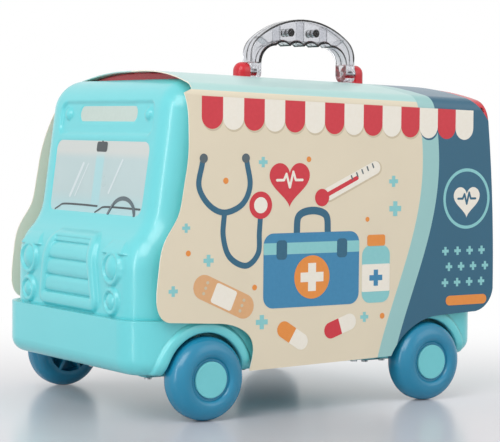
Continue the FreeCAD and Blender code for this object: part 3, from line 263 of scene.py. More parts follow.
def screenPaper(look):
    # printed label of a windscreen: two grey-blue panes, warmer at the top, with an aqua bar and dash
    made, tree, place = freshMaterial("screenPaper")
    parts = addNode(tree, "SeparateXYZ", {}, {"Vector": place})
    mottle = addNode(tree, "TexNoise", {"Scale": scaleFor(look["mottleMm"]), "Detail": look["detail"]},
                     {"Vector": place})
    across = addNode(tree, "Math", {"operation": "ABSOLUTE"}, {0: parts.outputs["Y"]})
    colour = addNode(tree, "Mix", {"data_type": "RGBA", 6: linearHex(look["glassDark"]),
                                   7: linearHex(look["glassLight"])}, {0: mottle.outputs["Fac"]})
    height = parts.outputs["Z"]
    for field, measure in (("bar", across.outputs[0]), ("dash", height), ("head", height)):
        ink, fadeStart, fadeEnd = look[field]
        share = addNode(tree, "MapRange", {"interpolation_type": "SMOOTHSTEP", "From Min": fadeStart,
                                           "From Max": fadeEnd}, {"Value": measure})
        colour = addNode(tree, "Mix", {"data_type": "RGBA", 7: linearHex(ink)},
                         {0: share.outputs["Result"], 6: colour.outputs[2]})
    gloss = addNode(tree, "MapRange", {"To Min": look["roughLow"], "To Max": look["roughHigh"]},
                    {"Value": mottle.outputs["Fac"]})
    shader = addNode(tree, "BsdfPrincipled", {"IOR": laminate["ior"], "Coat Weight": look["coat"],
                                              "Coat Roughness": look["coatRough"]},
                     {"Base Color": colour.outputs[2], "Roughness": gloss.outputs["Result"]})
    addNode(tree, "OutputMaterial", {}, {"Surface": shader.outputs["BSDF"]})
    return made


steel = zincSteel(zincLook)
striped = stripedAbs(stripeLook)
nodeFinish = {
    "base_shell": plastics["aquaAbs"], "upper_shell": plastics["aquaAbs"],
    "chassis_plate": plastics["aquaUnderAbs"], "axle_clamps": plastics["aquaUnderAbs"],
    "tray_insert": plastics["creamPp"], "roof": plastics["redAbs"], "printed_sleeve": printedCard(cardLook),
    "name_plate": inkFilm("platePaper", "#BCCCC4", "#C6D5CD"), "windscreen_label": screenPaper(screenLook),
}
for side in ("left", "right"):
    nodeFinish["window_frame_" + side] = plastics["creamPp"]
    nodeFinish["window_pane_" + side] = plastics["clearStyrene"]
    nodeFinish["awning_" + side] = striped
    nodeFinish["handle_half_" + side] = plastics["smokeStyrene"]
    for end in ("front", "rear"):
        nodeFinish["wheel_%s_%s" % (end, side)] = plastics["blueAbs"]
        nodeFinish["hub_cap_%s_%s" % (end, side)] = plastics["capAbs"]
for name, node in nodes.items():
    node.data.materials.clear()
    node.data.materials.append(nodeFinish.get(name, steel))
print("CAD nodes finished")


def gridFaces(rows, cols):
    # quads between neighbouring rows and columns of a grid of points
    ids = np.arange(rows * cols).reshape(rows, cols)
    return np.stack([ids[:-1, :-1], ids[:-1, 1:], ids[1:, 1:], ids[1:, :-1]], axis=-1).reshape(-1, 4)


def addPiece(name, points, faces, finish, body, wall=0.0, smooth=True):
    # mesh from millimetre points; a wall above 0 closes a sheet behind its outer face
    mesh = bpy.data.meshes.new(name)
    places = (np.asarray(points, float) / 1000.0).tolist()
    mesh.from_pydata(places, [], [list(map(int, face)) for face in faces])
    mesh.polygons.foreach_set("use_smooth", np.full(len(mesh.polygons), smooth))
    mesh.materials.append(finish)
    piece = bpy.data.objects.new(name, mesh)
    bpy.context.scene.collection.objects.link(piece)
    if wall > 0:
        thick = piece.modifiers.new("wall", "SOLIDIFY")
        thick.thickness = wall / 1000.0
        thick.offset = -1.0
    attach(piece, body)


def ease(value, low, high):
    # smooth step from 0 at low to 1 at high
    share = np.clip((value - low) / (high - low), 0.0, 1.0)
    return share * share * (3 - 2 * share)


def roundedDistance(y, z, low, high, halfLow, halfHigh, corner):
    # signed distance to a round-cornered trapezoid, negative inside
    half = halfLow + (halfHigh - halfLow) * (z - low) / (high - low)
    across = np.abs(y) - (half - corner)
    along = np.abs(z - (low + high) / 2) - ((high - low) / 2 - corner)
    outside = np.hypot(np.maximum(across, 0), np.maximum(along, 0))
    return outside + np.minimum(np.maximum(across, along), 0) - corner


# millimetres and degrees; a shape is low, high, half width at both and corner, an edge is the span of an ease
cabFace = {
    "front": -165.5, "foot": 77.2, "hoodStart": 114.0, "hoodRadius": 36.0, "hoodLean": 45.0,
    "hollowRadius": 40.0, "screenLean": 8.0, "browRadius": 27.0, "browTurn": 88.0, "top": 259.5,
    "profilePoints": 400, "flatHalf": 80.0, "corner": 24.0, "cornerPoints": 19, "tail": 5.0, "skin": 0.28,
    "rimSkin": 0.03, "rimRows": 3, "rimCols": 2, "split": 142.0, "fineStep": 0.3, "noseStep": 0.62,
    "screenStep": 1.25, "acrossStep": 0.62,
    "grille": {"shape": (80.5, 138.5, 47.0, 37.0, 9.0), "hole": (89.0, 134.5, 38.5, 28.5, 1.0), "proud": 3.1,
               "crown": 0.8, "edge": (-2.4, 0.3), "holeEdge": (-0.9, 0.15), "leastWide": 0.01},
    "slats": {"rows": 3.4, "groove": 1.6, "edge": (0.15, 0.8), "proud": 1.2, "crown": 1.2, "power": 3,
              "under": 0.3},
    "lamps": {"places": ((68.0, 115.0, 13.0), (68.0, 89.5, 10.2)), "ring": 2.8, "proud": 2.3, "crest": 0.7,
              "crestHalf": 1.5, "edge": (-0.1, 1.5), "lensEdge": (-1.0, 0.1), "lensDome": 4.0,
              "lensProud": 0.3},
    "brow": {"place": 68.0, "low": 126.0, "rise": 10.0, "half": 16.0, "topHalf": 9.0, "proud": 2.9,
             "power": 1.6, "edge": (-2.2, 0.4), "lip": 0.9},
    "visor": {"shape": (215.0, 242.75, 76.0, 76.0, 9.0), "edge": (0.1, 2.4)}, "visorDeep": 2.5,
    "plate": {"shape": (225.0, 239.5, 46.5, 46.5, 7.2), "edge": (0.05, 1.1)}, "labelDeep": 0.8,
    "screen": {"shape": (152.0, 212.0, 75.0, 76.0, 9.0), "edge": (0.1, 2.0)},
    "markers": {"place": 64.0, "height": 232.25, "radius": 4.9, "proud": 3.2},
}


def cabProfile():
    # side view of the cab front as x, z and lean: a plumb line, an arc that leans back, a hollow arc that
    # comes upright again, the leaning windscreen line and an arc over to the roof
    hood, lean = math.radians(cabFace["hoodLean"]), math.radians(cabFace["screenLean"])
    count = cabFace["profilePoints"]
    a = np.linspace(0, hood, count)[1:]
    b = np.linspace(hood, lean, count)[1:]
    d = np.linspace(lean, math.radians(cabFace["browTurn"]), count)[1:]
    z0 = np.linspace(cabFace["foot"], cabFace["hoodStart"], count)
    x0 = np.full_like(z0, cabFace["front"])
    arc1 = np.array([cabFace["front"] + cabFace["hoodRadius"] * (1 - np.cos(a)),
                     cabFace["hoodStart"] + cabFace["hoodRadius"] * np.sin(a)])
    middle = arc1[:, -1] + cabFace["hollowRadius"] * np.array([-math.cos(hood), math.sin(hood)])
    arc2 = middle[:, None] + cabFace["hollowRadius"] * np.array([np.cos(b), -np.sin(b)])
    start = arc2[:, -1]
    endZ = cabFace["top"] - cabFace["browRadius"] * (1 - math.sin(lean))
    z3 = np.linspace(start[1], endZ, 2 * count)[1:]
    x3 = start[0] + (z3 - start[1]) * math.tan(lean)
    brow = np.array([x3[-1], z3[-1]]) + cabFace["browRadius"] * np.array([math.cos(lean), -math.sin(lean)])
    arc4 = brow[:, None] + cabFace["browRadius"] * np.array([-np.cos(d), np.sin(d)])
    x = np.concatenate([x0, arc1[0], arc2[0], x3, arc4[0]])
    z = np.concatenate([z0, arc1[1], arc2[1], z3, arc4[1]])
    tilt = np.concatenate([np.zeros_like(z0), a, b, np.full_like(z3, lean), d])
    return x, z, tilt


def profileX(z):
    # x of the bare cab front at a height
    xs, zs, _ = cabProfile()
    return np.interp(z, zs, xs)


def slatPitch():
    # lowest height of the slats and the height from one to the next
    low, high = cabFace["grille"]["hole"][:2]
    return low, (high - low) / cabFace["slats"]["rows"]


def cabRows():
    # rows of the sheet: steps along the profile are finest at the grooves and widest on the windscreen
    x, z, tilt = cabProfile()
    run = np.concatenate([[0], np.cumsum(np.hypot(np.diff(x), np.diff(z)))])
    step = np.where(z < cabFace["split"], cabFace["noseStep"], cabFace["screenStep"])
    low, pitch = slatPitch()
    groove = cabFace["slats"]["groove"]
    for i in range(math.ceil(cabFace["slats"]["rows"])):
        step = np.where(np.abs(z - (low + i * pitch + groove / 2)) < groove, cabFace["fineStep"], step)
    count = np.concatenate([[0], np.cumsum(np.diff(run) / step[1:])])
    row = np.linspace(0, count[-1], int(round(count[-1])) + 1)
    x, z, tilt = (np.interp(row, count, values) for values in (x, z, tilt))
    return x, z, -np.cos(tilt), np.sin(tilt)


def rimShare(count, wide):
    # 0 at both ends of a run of points, 1 from so many points in
    place = np.arange(count)
    return np.minimum(ease(place, 0, wide), ease(count - 1 - place, 0, wide))


def cabFaceSheet():
    # grid of the profile (rows) by a path across: side tail, corner arc, flat front, corner arc, side tail
    x, z, nx, nz = cabRows()
    flat, corner, end = cabFace["flatHalf"], cabFace["corner"], cabFace["tail"]
    turn = np.linspace(math.pi / 2, 0, cabFace["cornerPoints"])
    middle = np.linspace(-flat, flat, int(2 * flat / cabFace["acrossStep"]))[1:-1]
    across = np.concatenate([[-flat - corner] * 2, -flat - corner * np.sin(turn), middle,
                             flat + corner * np.sin(turn[::-1]), [flat + corner] * 2])
    bend = np.concatenate([[0, 0], np.cos(turn), np.ones(len(middle)), np.cos(turn[::-1]), [0, 0]])
    tail = np.concatenate([[end, end / 2], np.zeros(len(across) - 4), [end / 2, end]])
    sideways = np.concatenate([[-1, -1], -np.sin(turn), np.zeros(len(middle)), np.sin(turn[::-1]), [1, 1]])
    # the skin thins out to almost nothing at the rim of the sheet
    rim = rimShare(len(z), cabFace["rimRows"])[:, None] * rimShare(len(across), cabFace["rimCols"])
    skin = cabFace["rimSkin"] + (cabFace["skin"] - cabFace["rimSkin"]) * rim
    depth = corner * (1 - bend) + tail - skin * bend
    gx = x[:, None] - nx[:, None] * depth
    gz = z[:, None] - nz[:, None] * depth
    gy = across + sideways * skin
    return gx + cabRelief(gx, gy, gz), gy, gz


def grilleRise(gy, gz):
    # how far the grille stands out: a crowned frame with soft edges, and pillowed slats with grooves between
    grille, slats = cabFace["grille"], cabFace["slats"]
    outer = roundedDistance(gy, gz, *grille["shape"])
    inner = roundedDistance(gy, gz, *grille["hole"])
    fromEdge, fromHole = np.maximum(-outer, 0), np.maximum(inner, 0)
    share = fromEdge / np.maximum(fromEdge + fromHole, grille["leastWide"])
    frameRise = grille["proud"] + grille["crown"] * (1 - (2 * share - 1) ** 2)
    frameRise = frameRise * ease(-outer, *grille["edge"]) * ease(inner, *grille["holeEdge"])
    low, pitch = slatPitch()
    up = np.mod(gz - low, pitch)
    fromGroove = np.abs(up - slats["groove"] / 2)
    fromGroove = np.minimum(fromGroove, pitch - fromGroove)
    bar = np.clip((up - slats["groove"]) / (pitch - slats["groove"]), 0, 1)
    slatRise = slats["proud"] + slats["crown"] * (1 - np.abs(2 * bar - 1) ** slats["power"])
    slatRise = slatRise * ease(fromGroove, *slats["edge"]) * (inner < slats["under"])
    return np.maximum(frameRise, slatRise)


def lampShift(gx, gy, gz, place, height, radius):
    # a rounded ring that follows the hood, round a lens that is a cap of a sphere on the plumb front
    lamps = cabFace["lamps"]
    away = np.hypot(np.abs(gy) - place, gz - height)
    lens, dome = radius - lamps["ring"], lamps["lensDome"]
    crest = np.sqrt(np.clip(1 - ((away - radius + lamps["ring"] / 2) / lamps["crestHalf"]) ** 2, 0, 1))
    ring = lamps["proud"] + lamps["crest"] * crest
    ring = ring * (1 - ease(away, radius + lamps["edge"][0], radius + lamps["edge"][1]))
    ring = ring * ease(away, lens + lamps["lensEdge"][0], lens + lamps["lensEdge"][1])
    ball = (lens ** 2 + dome ** 2) / (2 * dome)
    cap = np.sqrt(np.maximum(ball ** 2 - away ** 2, 0)) - ball + dome
    lensX = cabFace["front"] - lamps["lensProud"] - cap
    return np.where(away < lens, np.minimum(-ring, np.minimum(lensX - gx, 0)), -ring)


def browRise(gy, gz):
    # a ledge with a crisp lower edge that sinks into the hood above and narrows upwards
    brow = cabFace["brow"]
    share = np.clip((gz - brow["low"]) / brow["rise"], 0, 1)
    half = brow["half"] + (brow["topHalf"] - brow["half"]) * share
    inside = half - np.abs(np.abs(gy) - brow["place"])
    ledge = brow["proud"] * (1 - share ** brow["power"]) * ease(inside, *brow["edge"])
    return ledge * ease(gz, brow["low"] - brow["lip"], brow["low"])


def cabRelief(gx, gy, gz):
    # shift along x of the moulded details: minus stands out, plus goes in
    shift = -np.maximum(grilleRise(gy, gz), browRise(gy, gz))
    for lampPlace in cabFace["lamps"]["places"]:
        shift = np.minimum(shift, lampShift(gx, gy, gz, *lampPlace))
    recesses = (cabFace[name] for name in ("visor", "plate", "screen"))
    inVisor, inPlate, inScreen = (ease(-roundedDistance(gy, gz, *recess["shape"]), *recess["edge"])
                                  for recess in recesses)
    shift = shift + cabFace["visorDeep"] * inVisor + cabFace["labelDeep"] * np.maximum(inPlate, inScreen)
    # the marker domes are half ellipsoids
    markers = cabFace["markers"]
    away = np.hypot(np.abs(gy) - markers["place"], gz - markers["height"])
    return shift - markers["proud"] * np.sqrt(np.clip(1 - (away / markers["radius"]) ** 2, 0, 1))


fx, fy, fz = cabFaceSheet()
addPiece("cab_front_moulding", np.stack([fx, fy, fz], axis=-1).reshape(-1, 3), gridFaces(*fx.shape)[:, ::-1],
         plastics["aquaAbs"], "upper_body")
print("cab front:", fx.shape[0], "by", fx.shape[1], "points")


# the base's wall as far as the flares follow it, then the lip; the inner roll is given point by point
flare = {"side": 113.0, "baseLow": 35.0, "bottomRound": 12.0, "frontX": -171.0, "frontCorner": 30.0,
         "rearX": 158.5, "rearCorner": 16.0, "axles": (-111.0, 103.0), "axleZ": 32.0, "arch": 35.5,
         "lip": 6.0, "rise": 2.5, "bulge": 0.5, "bulgePower": 0.7, "reach": 44.5, "blendPower": 1.5,
         "sunk": 0.25, "skirt": 35.2, "wall": 0.3, "rollInset": (0.3, 0.3, 0.2), "rollDeep": (10.0, 1.5, 0.5),
         "lipPoints": 12, "blendStart": 0.3, "blendPoints": 10, "turnPoints": 73}


def baseSideY(x, z):
    # half width of the base's wall: its plan with round corners, drawn in by the round lower edge
    below = np.clip(flare["baseLow"] + flare["bottomRound"] - z, 0, flare["bottomRound"])
    inLow = flare["bottomRound"] - np.sqrt(flare["bottomRound"] ** 2 - below ** 2)
    wall = flare["side"] - inLow
    for corner, past in ((flare["frontCorner"], flare["frontX"] + flare["frontCorner"] - x),
                         (flare["rearCorner"], x - flare["rearX"] + flare["rearCorner"])):
        arc = flare["side"] - corner + np.sqrt(np.maximum((corner - inLow) ** 2 - past ** 2, 0))
        wall = np.where(past > 0, arc, wall)
    return wall


def flarePoints(axleX):
    # a lip turned round the axle that follows the wall: inner roll, rounded ring, then a hollow blend down
    inner, outer = flare["arch"], flare["arch"] + flare["lip"]
    radius = np.concatenate([inner - np.array(flare["rollInset"]),
                             np.linspace(inner, outer, flare["lipPoints"]),
                             np.linspace(outer + flare["blendStart"], flare["reach"], flare["blendPoints"])])
    low = np.arcsin((flare["skirt"] - flare["axleZ"]) / radius)
    share = np.linspace(0, 1, flare["turnPoints"])[:, None]
    angle = low + share * (math.pi - 2 * low)
    x = axleX - radius * np.cos(angle)
    z = flare["axleZ"] + radius * np.sin(angle)
    ringShare = np.clip((radius - inner) / flare["lip"], 0, 1)
    rise = flare["rise"] + flare["bulge"] * np.sin(ringShare * math.pi) ** flare["bulgePower"]
    fade = 1 - ease(radius, outer, flare["reach"])
    y = baseSideY(x, z) - flare["sunk"] + (rise + flare["sunk"]) * fade ** flare["blendPower"]
    roll = np.zeros(len(radius))
    roll[:len(flare["rollDeep"])] = flare["rollDeep"]
    return x, y - roll, z


for end, axleX in zip(("front", "rear"), flare["axles"]):
    ax, ay, az = flarePoints(axleX)
    for side, sign in (("left", -1), ("right", 1)):
        points = np.stack([ax, sign * ay, az], axis=-1).reshape(-1, 3)
        faces = gridFaces(*ax.shape)[:, ::-sign]
        addPiece("wheel_flare_%s_%s" % (end, side), points, faces, plastics["aquaAbs"], "base",
                 wall=flare["wall"])
print("wheel flares made")


# ribs inside the clear handle: three upright ones across the grip and a leaning one at each bend
handleRibs = {"thick": 1.2, "half": 5.4,
              "ends": (((30.4, 295.3), (30.4, 307.6)), ((54.7, 294.4), (54.7, 311.7)),
                       ((79.0, 295.3), (79.0, 307.6)), ((19.6, 292.6), (12.2, 297.3)),
                       ((89.8, 292.6), (97.2, 297.3))),
              "quads": ((3, 2, 1, 0), (4, 5, 6, 7), (0, 1, 5, 4), (1, 2, 6, 5), (2, 3, 7, 6), (3, 0, 4, 7))}


def ribPoints(low, high):
    # corners of a thin plate from one point in x and z to another, as deep as the hollow of the handle
    low, high = np.array(low), np.array(high)
    run = (high - low) / np.linalg.norm(high - low)
    off = np.array([-run[1], run[0]]) * handleRibs["thick"] / 2
    ring = [low - off, low + off, high + off, high - off]
    return np.array([(x, sign * handleRibs["half"], z) for sign in (-1, 1) for x, z in ring])


ribBoxes = [ribPoints(*ends) for ends in handleRibs["ends"]]
ribFaces = np.concatenate([np.array(handleRibs["quads"]) + i * len(box) for i, box in enumerate(ribBoxes)])
addPiece("handle_ribs", np.concatenate(ribBoxes), ribFaces, plastics["smokeStyrene"], "handle",
         smooth=False)
print("handle ribs made")


def discShape(radius, count=48):
    # circle, one turn of cosine and sine
    t = np.linspace(0, 2 * math.pi, count, endpoint=False)
    return np.stack([radius * np.cos(t), radius * np.sin(t)], axis=-1)


def tabletShape(width, height, corner, count=8):
    # rectangle with a quarter circle at each corner
    t = np.linspace(0, math.pi / 2, count)
    arc = np.stack([np.cos(t), np.sin(t)], axis=-1) * corner
    middle = np.array([width / 2 - corner, height / 2 - corner])
    second = np.stack([-arc[:, 1], arc[:, 0]], axis=-1)
    quarters = ((arc, (1, 1)), (second, (-1, 1)), (-arc, (-1, -1)), (-second, (1, -1)))
    return np.concatenate([quarter + middle * np.array(sign) for quarter, sign in quarters])


def plusShape(size, arm):
    # two crossed bars as one outline of twelve corners
    s, a = size / 2, arm / 2
    return np.array([(a, -s), (a, -a), (s, -a), (s, a), (a, a), (a, s), (-a, s), (-a, a), (-s, a), (-s, -a),
                     (-a, -a), (-a, -s)])


def heartShape(size, count=64):
    # the heart curve 16 sin^3 t by 13 cos t - 5 cos 2t - 2 cos 3t - cos 4t, which is 32 wide
    t = np.linspace(0, 2 * math.pi, count, endpoint=False)
    u = 16 * np.sin(t) ** 3
    v = 13 * np.cos(t) - 5 * np.cos(2 * t) - 2 * np.cos(3 * t) - np.cos(4 * t)
    return np.stack([-u, v], axis=-1) * size / 32


def strokeShape(path, width, count=9):
    # a line of even width: the path shifted to both sides along its normals, with round ends
    path = np.asarray(path, float)
    run = np.gradient(path, axis=0)
    run = run / np.linalg.norm(run, axis=1)[:, None]
    normal = np.stack([-run[:, 1], run[:, 0]], axis=-1) * width / 2
    t = np.linspace(0, math.pi, count)[1:-1, None]
    head = path[-1] + normal[-1] * -np.cos(t) + run[-1] * width / 2 * np.sin(t)
    foot = path[0] - normal[0] * -np.cos(t) - run[0] * width / 2 * np.sin(t)
    return np.concatenate([path - normal, head, (path + normal)[::-1], foot])


def smoothPath(points, steps=12):
    # Catmull-Rom curve through the points
    p = np.asarray(points, float)
    p = np.concatenate([[2 * p[0] - p[1]], p, [2 * p[-1] - p[-2]]])
    t = np.linspace(0, 1, steps, endpoint=False)[None, :, None]
    a, b, c, d = (p[i:len(p) - 3 + i, None, :] for i in range(4))
    bend, twist = 2 * a - 5 * b + 4 * c - d, 3 * b - a - 3 * c + d
    run = 0.5 * (2 * b + (c - a) * t + bend * t ** 2 + twist * t ** 3)
    return np.concatenate([run.reshape(-1, 2), p[-2:-1]])


def put(shape, x, z, turn=0.0):
    # outline turned by degrees and moved to a place on the panel
    angle = math.radians(turn)
    spin = np.array([[math.cos(angle), math.sin(angle)], [-math.sin(angle), math.cos(angle)]])
    return shape @ spin + np.array([x, z])


# dark and light end of each ink's mottle
inkColours = {
    "inkRed": ("#CB2433", "#D83140"), "inkCream": ("#F1EADA", "#F7F2E6"), "inkAqua": ("#84C9CB", "#90D1D2"),
    "inkBlue": ("#2F80AB", "#3A8BB5"), "inkTeal": ("#1D5C77", "#246682"), "inkOrange": ("#E78A34", "#EE9641"),
    "inkSand": ("#CDBE9F", "#D6C8AC"), "inkTan": ("#DDA873", "#E4B180"), "inkGrey": ("#4A5A61", "#54646B"),
    "inkCoal": ("#2C353A", "#353F44"), "inkPale": ("#D0DCDE", "#D6E1E3"),
}
inks = {name: inkFilm(name, *pair) for name, pair in inkColours.items()}


def layInk(art, ink, toSpace, name, body, wall=0.0):
    # one mesh of every outline in one ink; toSpace turns an outline of a layer into points
    points, faces, start = [], [], 0
    for outlineInk, layer, shape in art:
        if outlineInk == ink:
            points.append(toSpace(shape, layer))
            faces.append(list(range(start, start + len(shape))))
            start += len(shape)
    if points:
        addPiece(name, np.concatenate(points), faces, inks[ink], body, wall=wall, smooth=False)


# side panels of the sleeve in millimetres: the plane of the print, the valance, then what the motifs share
panel = {"face": 119.6, "lift": 0.04, "layer": 0.05, "film": 0.03, "valanceTop": 242.2,
         "valanceSlope": -0.0305, "valanceDrop": 15.0, "scallop": 19.0, "scallops": 14, "scallopPoints": 17,
         "valanceStart": -119.0, "leanStart": -103.0, "shadow": (0.6, -1.6), "sandShadows": 11,
         "armShare": 0.36, "pulse": ((-15, 0), (-7, 0), (-4, 6), (0, -7), (4, 8), (7, 0), (15, 0)),
         "capsule": (32, 13, 6.4)}


def valanceRows(first):
    # striped valance along the top edge: bars with half-round ends, each over a shadow
    wide, drop, slope = panel["scallop"], panel["valanceDrop"], panel["valanceSlope"]
    t = np.linspace(math.pi, 2 * math.pi, panel["scallopPoints"])
    end = np.stack([wide / 2 * np.cos(t), wide / 2 * np.sin(t)], axis=-1)
    fall = slope * wide / 2
    bar = np.concatenate([end, [[wide / 2, drop + fall], [-wide / 2, drop - fall]]])
    aside, below = panel["shadow"]
    rows = []
    for i in range(panel["scallops"]):
        x = panel["valanceStart"] + wide * (i + 0.5)
        if x - wide / 2 >= first:
            z = panel["valanceTop"] + slope * x - drop
            shade = "inkSand" if i < panel["sandShadows"] else "inkTeal"
            rows.append((shade, 0, bar, x + aside, z + below))
            rows.append(("inkRed" if i % 2 == 0 else "inkCream", 1, bar, x, z))
    return rows


def pulseRows(ink, layer, scale, width, x, z):
    # a heartbeat of straight strokes on two layers by turns, so that no two of them share a plane
    pulse = np.array(panel["pulse"]) * scale
    return [(ink, layer + i % 2, strokeShape(np.linspace(pulse[i], pulse[i + 1], 3), width), x, z)
            for i in range(len(pulse) - 1)]


def capsuleRows(ink, x, z, turn):
    # a cream capsule with its front half in an ink; the half's corners are put in order round its middle
    length, width, _ = panel["capsule"]
    whole = tabletShape(*panel["capsule"])
    half = np.concatenate([whole[whole[:, 0] <= 0], [[0.0, -width / 2], [0.0, width / 2]]])
    order = np.argsort(np.arctan2(half[:, 1], half[:, 0] + length / 4))
    return [("inkCream", 2, whole, x, z, turn), (ink, 3, half[order], x, z, turn)]


# each row is ink, layer, outline, x, z and, where the outline is turned, degrees
motifs = {
    "bag": [
        ("inkTeal", 1, strokeShape(smoothPath([(-15, 0), (-13, 14), (0, 18), (13, 14), (15, 0)]), 6),
         -16, 140),
        ("inkBlue", 2, tabletShape(92, 58, 9), -16, 112),
        ("inkAqua", 3, tabletShape(92, 9, 1), -16, 129),
        ("inkTeal", 4, tabletShape(10, 15, 3), -45, 128),
        ("inkTeal", 4, tabletShape(10, 15, 3), 13, 128),
        ("inkOrange", 4, discShape(17), -16, 106),
        ("inkCream", 5, plusShape(22, 7.5), -16, 106)],
    "stethoscope": [
        ("inkTeal", 1, strokeShape(smoothPath([(-98, 158), (-99, 140), (-93, 124), (-78, 117), (-67, 126),
                                               (-66, 142), (-65, 156)], 14), 4.6), 0, 0),
        ("inkTeal", 2, strokeShape(smoothPath([(-118, 196), (-121, 178), (-112, 164), (-98, 158), (-82, 164),
                                               (-75, 178), (-78, 196)], 14), 4.6), 0, 0),
        ("inkGrey", 3, discShape(3.6), -117, 199),
        ("inkGrey", 3, discShape(3.6), -79, 199),
        ("inkRed", 3, discShape(10.5), -65, 163),
        ("inkCream", 4, discShape(6.2), -65, 163)],
    "thermometer": [
        ("inkSand", 1, tabletShape(62, 12, 6), 23, 180.4, 24),
        ("inkCream", 2, tabletShape(60, 10.5, 5.2), 22.4, 181, 24),
        ("inkRed", 3, tabletShape(36, 3.4, 1.6), 12, 176.4, 24),
        ("inkRed", 4, discShape(6.8), -7, 168)],
    "thermometerMarks": [
        ("inkGrey", 4, tabletShape(1.2, 4.2, 0.5), 22 + i * 5.2, 183.4 + i * 2.32, 24) for i in range(5)],
    "bottle": [
        ("inkOrange", 3, tabletShape(18, 9, 2), 47, 133),
        ("inkAqua", 2, tabletShape(28, 46, 8), 47, 106),
        ("inkCream", 3, tabletShape(28, 22, 1), 47, 103),
        ("inkBlue", 4, plusShape(13, 4.4), 47, 103)],
    "plaster": [
        ("inkTan", 1, tabletShape(58, 19, 9.4), -98, 94, -24),
        ("inkCream", 2, tabletShape(20, 16, 2), -98, 94, -24)],
    "plasterHoles": [
        ("inkSand", 3, discShape(1.3, 14), *put(np.array([i * 18.0, k * 4.4]), -98, 94, -24))
        for i in (-1, 1) for k in (-1, 0, 1)],
    "capsules": capsuleRows("inkRed", 12, 66, 18) + capsuleRows("inkOrange", -34, 61, -32),
    "heart": [("inkRed", 2, heartShape(38), -38, 181)] + pulseRows("inkCream", 3, 0.8, 2.0, -38, 182),
    "loosePluses": [
        ("inkAqua", 1, plusShape(size, size * panel["armShare"]), x, z)
        for x, z, size in ((-63, 196, 8), (-112, 122, 9), (-63, 73, 11), (64, 180, 9), (66, 158, 12),
                           (36, 72, 8), (-132, 147, 7), (-143, 100, 8))],
    "looseDots": [
        ("inkOrange", 1, discShape(size, 24), x, z)
        for x, z, size in ((-70, 100, 2.2), (-97, 182, 2.4), (38, 150, 2.0), (-130, 128, 2.2), (54, 72, 2.4),
                           (-20, 198, 2.2))],
    "rearHeart": [
        ("inkAqua", 1, discShape(25, 64), 141, 165),
        ("inkTeal", 2, discShape(22.4, 64), 141, 165),
        ("inkCream", 3, heartShape(28), 141, 164)] + pulseRows("inkTeal", 4, 0.62, 1.8, 141, 165),
    "rearPluses": [
        ("inkAqua", 1, plusShape(7, 2.4), 119 + col * 13 + (row % 2) * 4, 122 - row * 13)
        for row in range(3) for col in range(4)],
    "rearBar": [("inkOrange", 2, tabletShape(44, 8, 4), 142, 81)],
}


def panelPrint(first):
    # the print of one side, as (ink, layer, outline in x and z); valance bars start at or behind first
    rows = valanceRows(first) + [row for motif in motifs.values() for row in motif]
    return [(ink, layer, put(shape, *place)) for ink, layer, shape, *place in rows]


def layPrint(art, side, sign):
    # one mesh per ink: each outline is a face just off the panel, raised by its layer
    def offPanel(shape, layer):
        off = sign * (panel["face"] + panel["lift"] + layer * panel["layer"])
        shape = shape[::-sign]
        return np.stack([shape[:, 0], np.full(len(shape), off), shape[:, 1]], axis=-1)

    for ink in inks:
        name = "print_%s_%s" % (ink[3:].lower(), side)
        layInk(art, ink, offPanel, name, "sleeve", panel["film"])


for side, sign, first in (("left", -1, panel["valanceStart"]), ("right", 1, panel["leanStart"])):
    sideArt = panelPrint(first)
    layPrint(sideArt, side, sign)
    print("print laid:", len(sideArt), "motifs on the", side)


# windscreen print in y and z: a steering wheel's rim, streaks of sheen, the mirror on its stem and two wipers
pane = {"inks": ("inkPale", "inkGrey", "inkCoal"), "sunk": 0.25, "layer": 0.05, "rimPlace": (-45, 149.5),
        "rimHalf": (21, 17), "rimTurn": (168, 12), "rimPoints": 40, "rimWide": 3.4,
        "sheen": ((42, 166, 3.0), (34, 166, 1.4), (-20, 170, 2.2)),
        "sheenRun": ((0, 0), (-8, 13), (-16, 26)), "stem": ((-1, 207), (-1, 208.5), (-1, 210)),
        "stemWide": 2.6, "mirror": (17, 8, 2.2), "mirrorPlace": (-1, 206), "wiperFeet": (63.0, -4.0),
        "wiperWide": 1.5, "wiperSteps": 6,
        "wiperArm": ((0, 154.2), (-6, 156.8), (-13, 158.8), (-40, 159.2), (-68, 159.0))}


def screenPrint():
    # the outlines as (ink, layer, outline); the rim is part of an ellipse
    start, stop = np.radians(pane["rimTurn"])
    turn = np.linspace(start, stop, pane["rimPoints"])
    circle = np.stack([np.cos(turn), np.sin(turn)], axis=-1)
    rim = np.array(pane["rimPlace"]) + np.array(pane["rimHalf"]) * circle
    art = [("inkPale", 1, strokeShape(np.array(pane["sheenRun"]) + (y, z), wide))
           for y, z, wide in pane["sheen"]]
    art.append(("inkCoal", 1, strokeShape(pane["stem"], pane["stemWide"])))
    art.append(("inkCoal", 2, put(tabletShape(*pane["mirror"]), *pane["mirrorPlace"])))
    art.append(("inkGrey", 1, strokeShape(rim, pane["rimWide"])))
    for foot in pane["wiperFeet"]:
        arm = smoothPath(np.array(pane["wiperArm"]) + (foot, 0), pane["wiperSteps"])
        art.append(("inkCoal", 3, strokeShape(arm, pane["wiperWide"])))
    return art


def layScreen(art):
    # outlines pressed onto the label, whose x follows the cab profile
    def onLabel(shape, layer):
        shape = shape[::-1]
        x = profileX(shape[:, 1]) + pane["sunk"] - layer * pane["layer"]
        return np.stack([x, shape[:, 0], shape[:, 1]], axis=-1)

    for ink in pane["inks"]:
        layInk(art, ink, onLabel, "screen_%s" % ink[3:].lower(), "upper_body")


layScreen(screenPrint())
print("windscreen print laid")


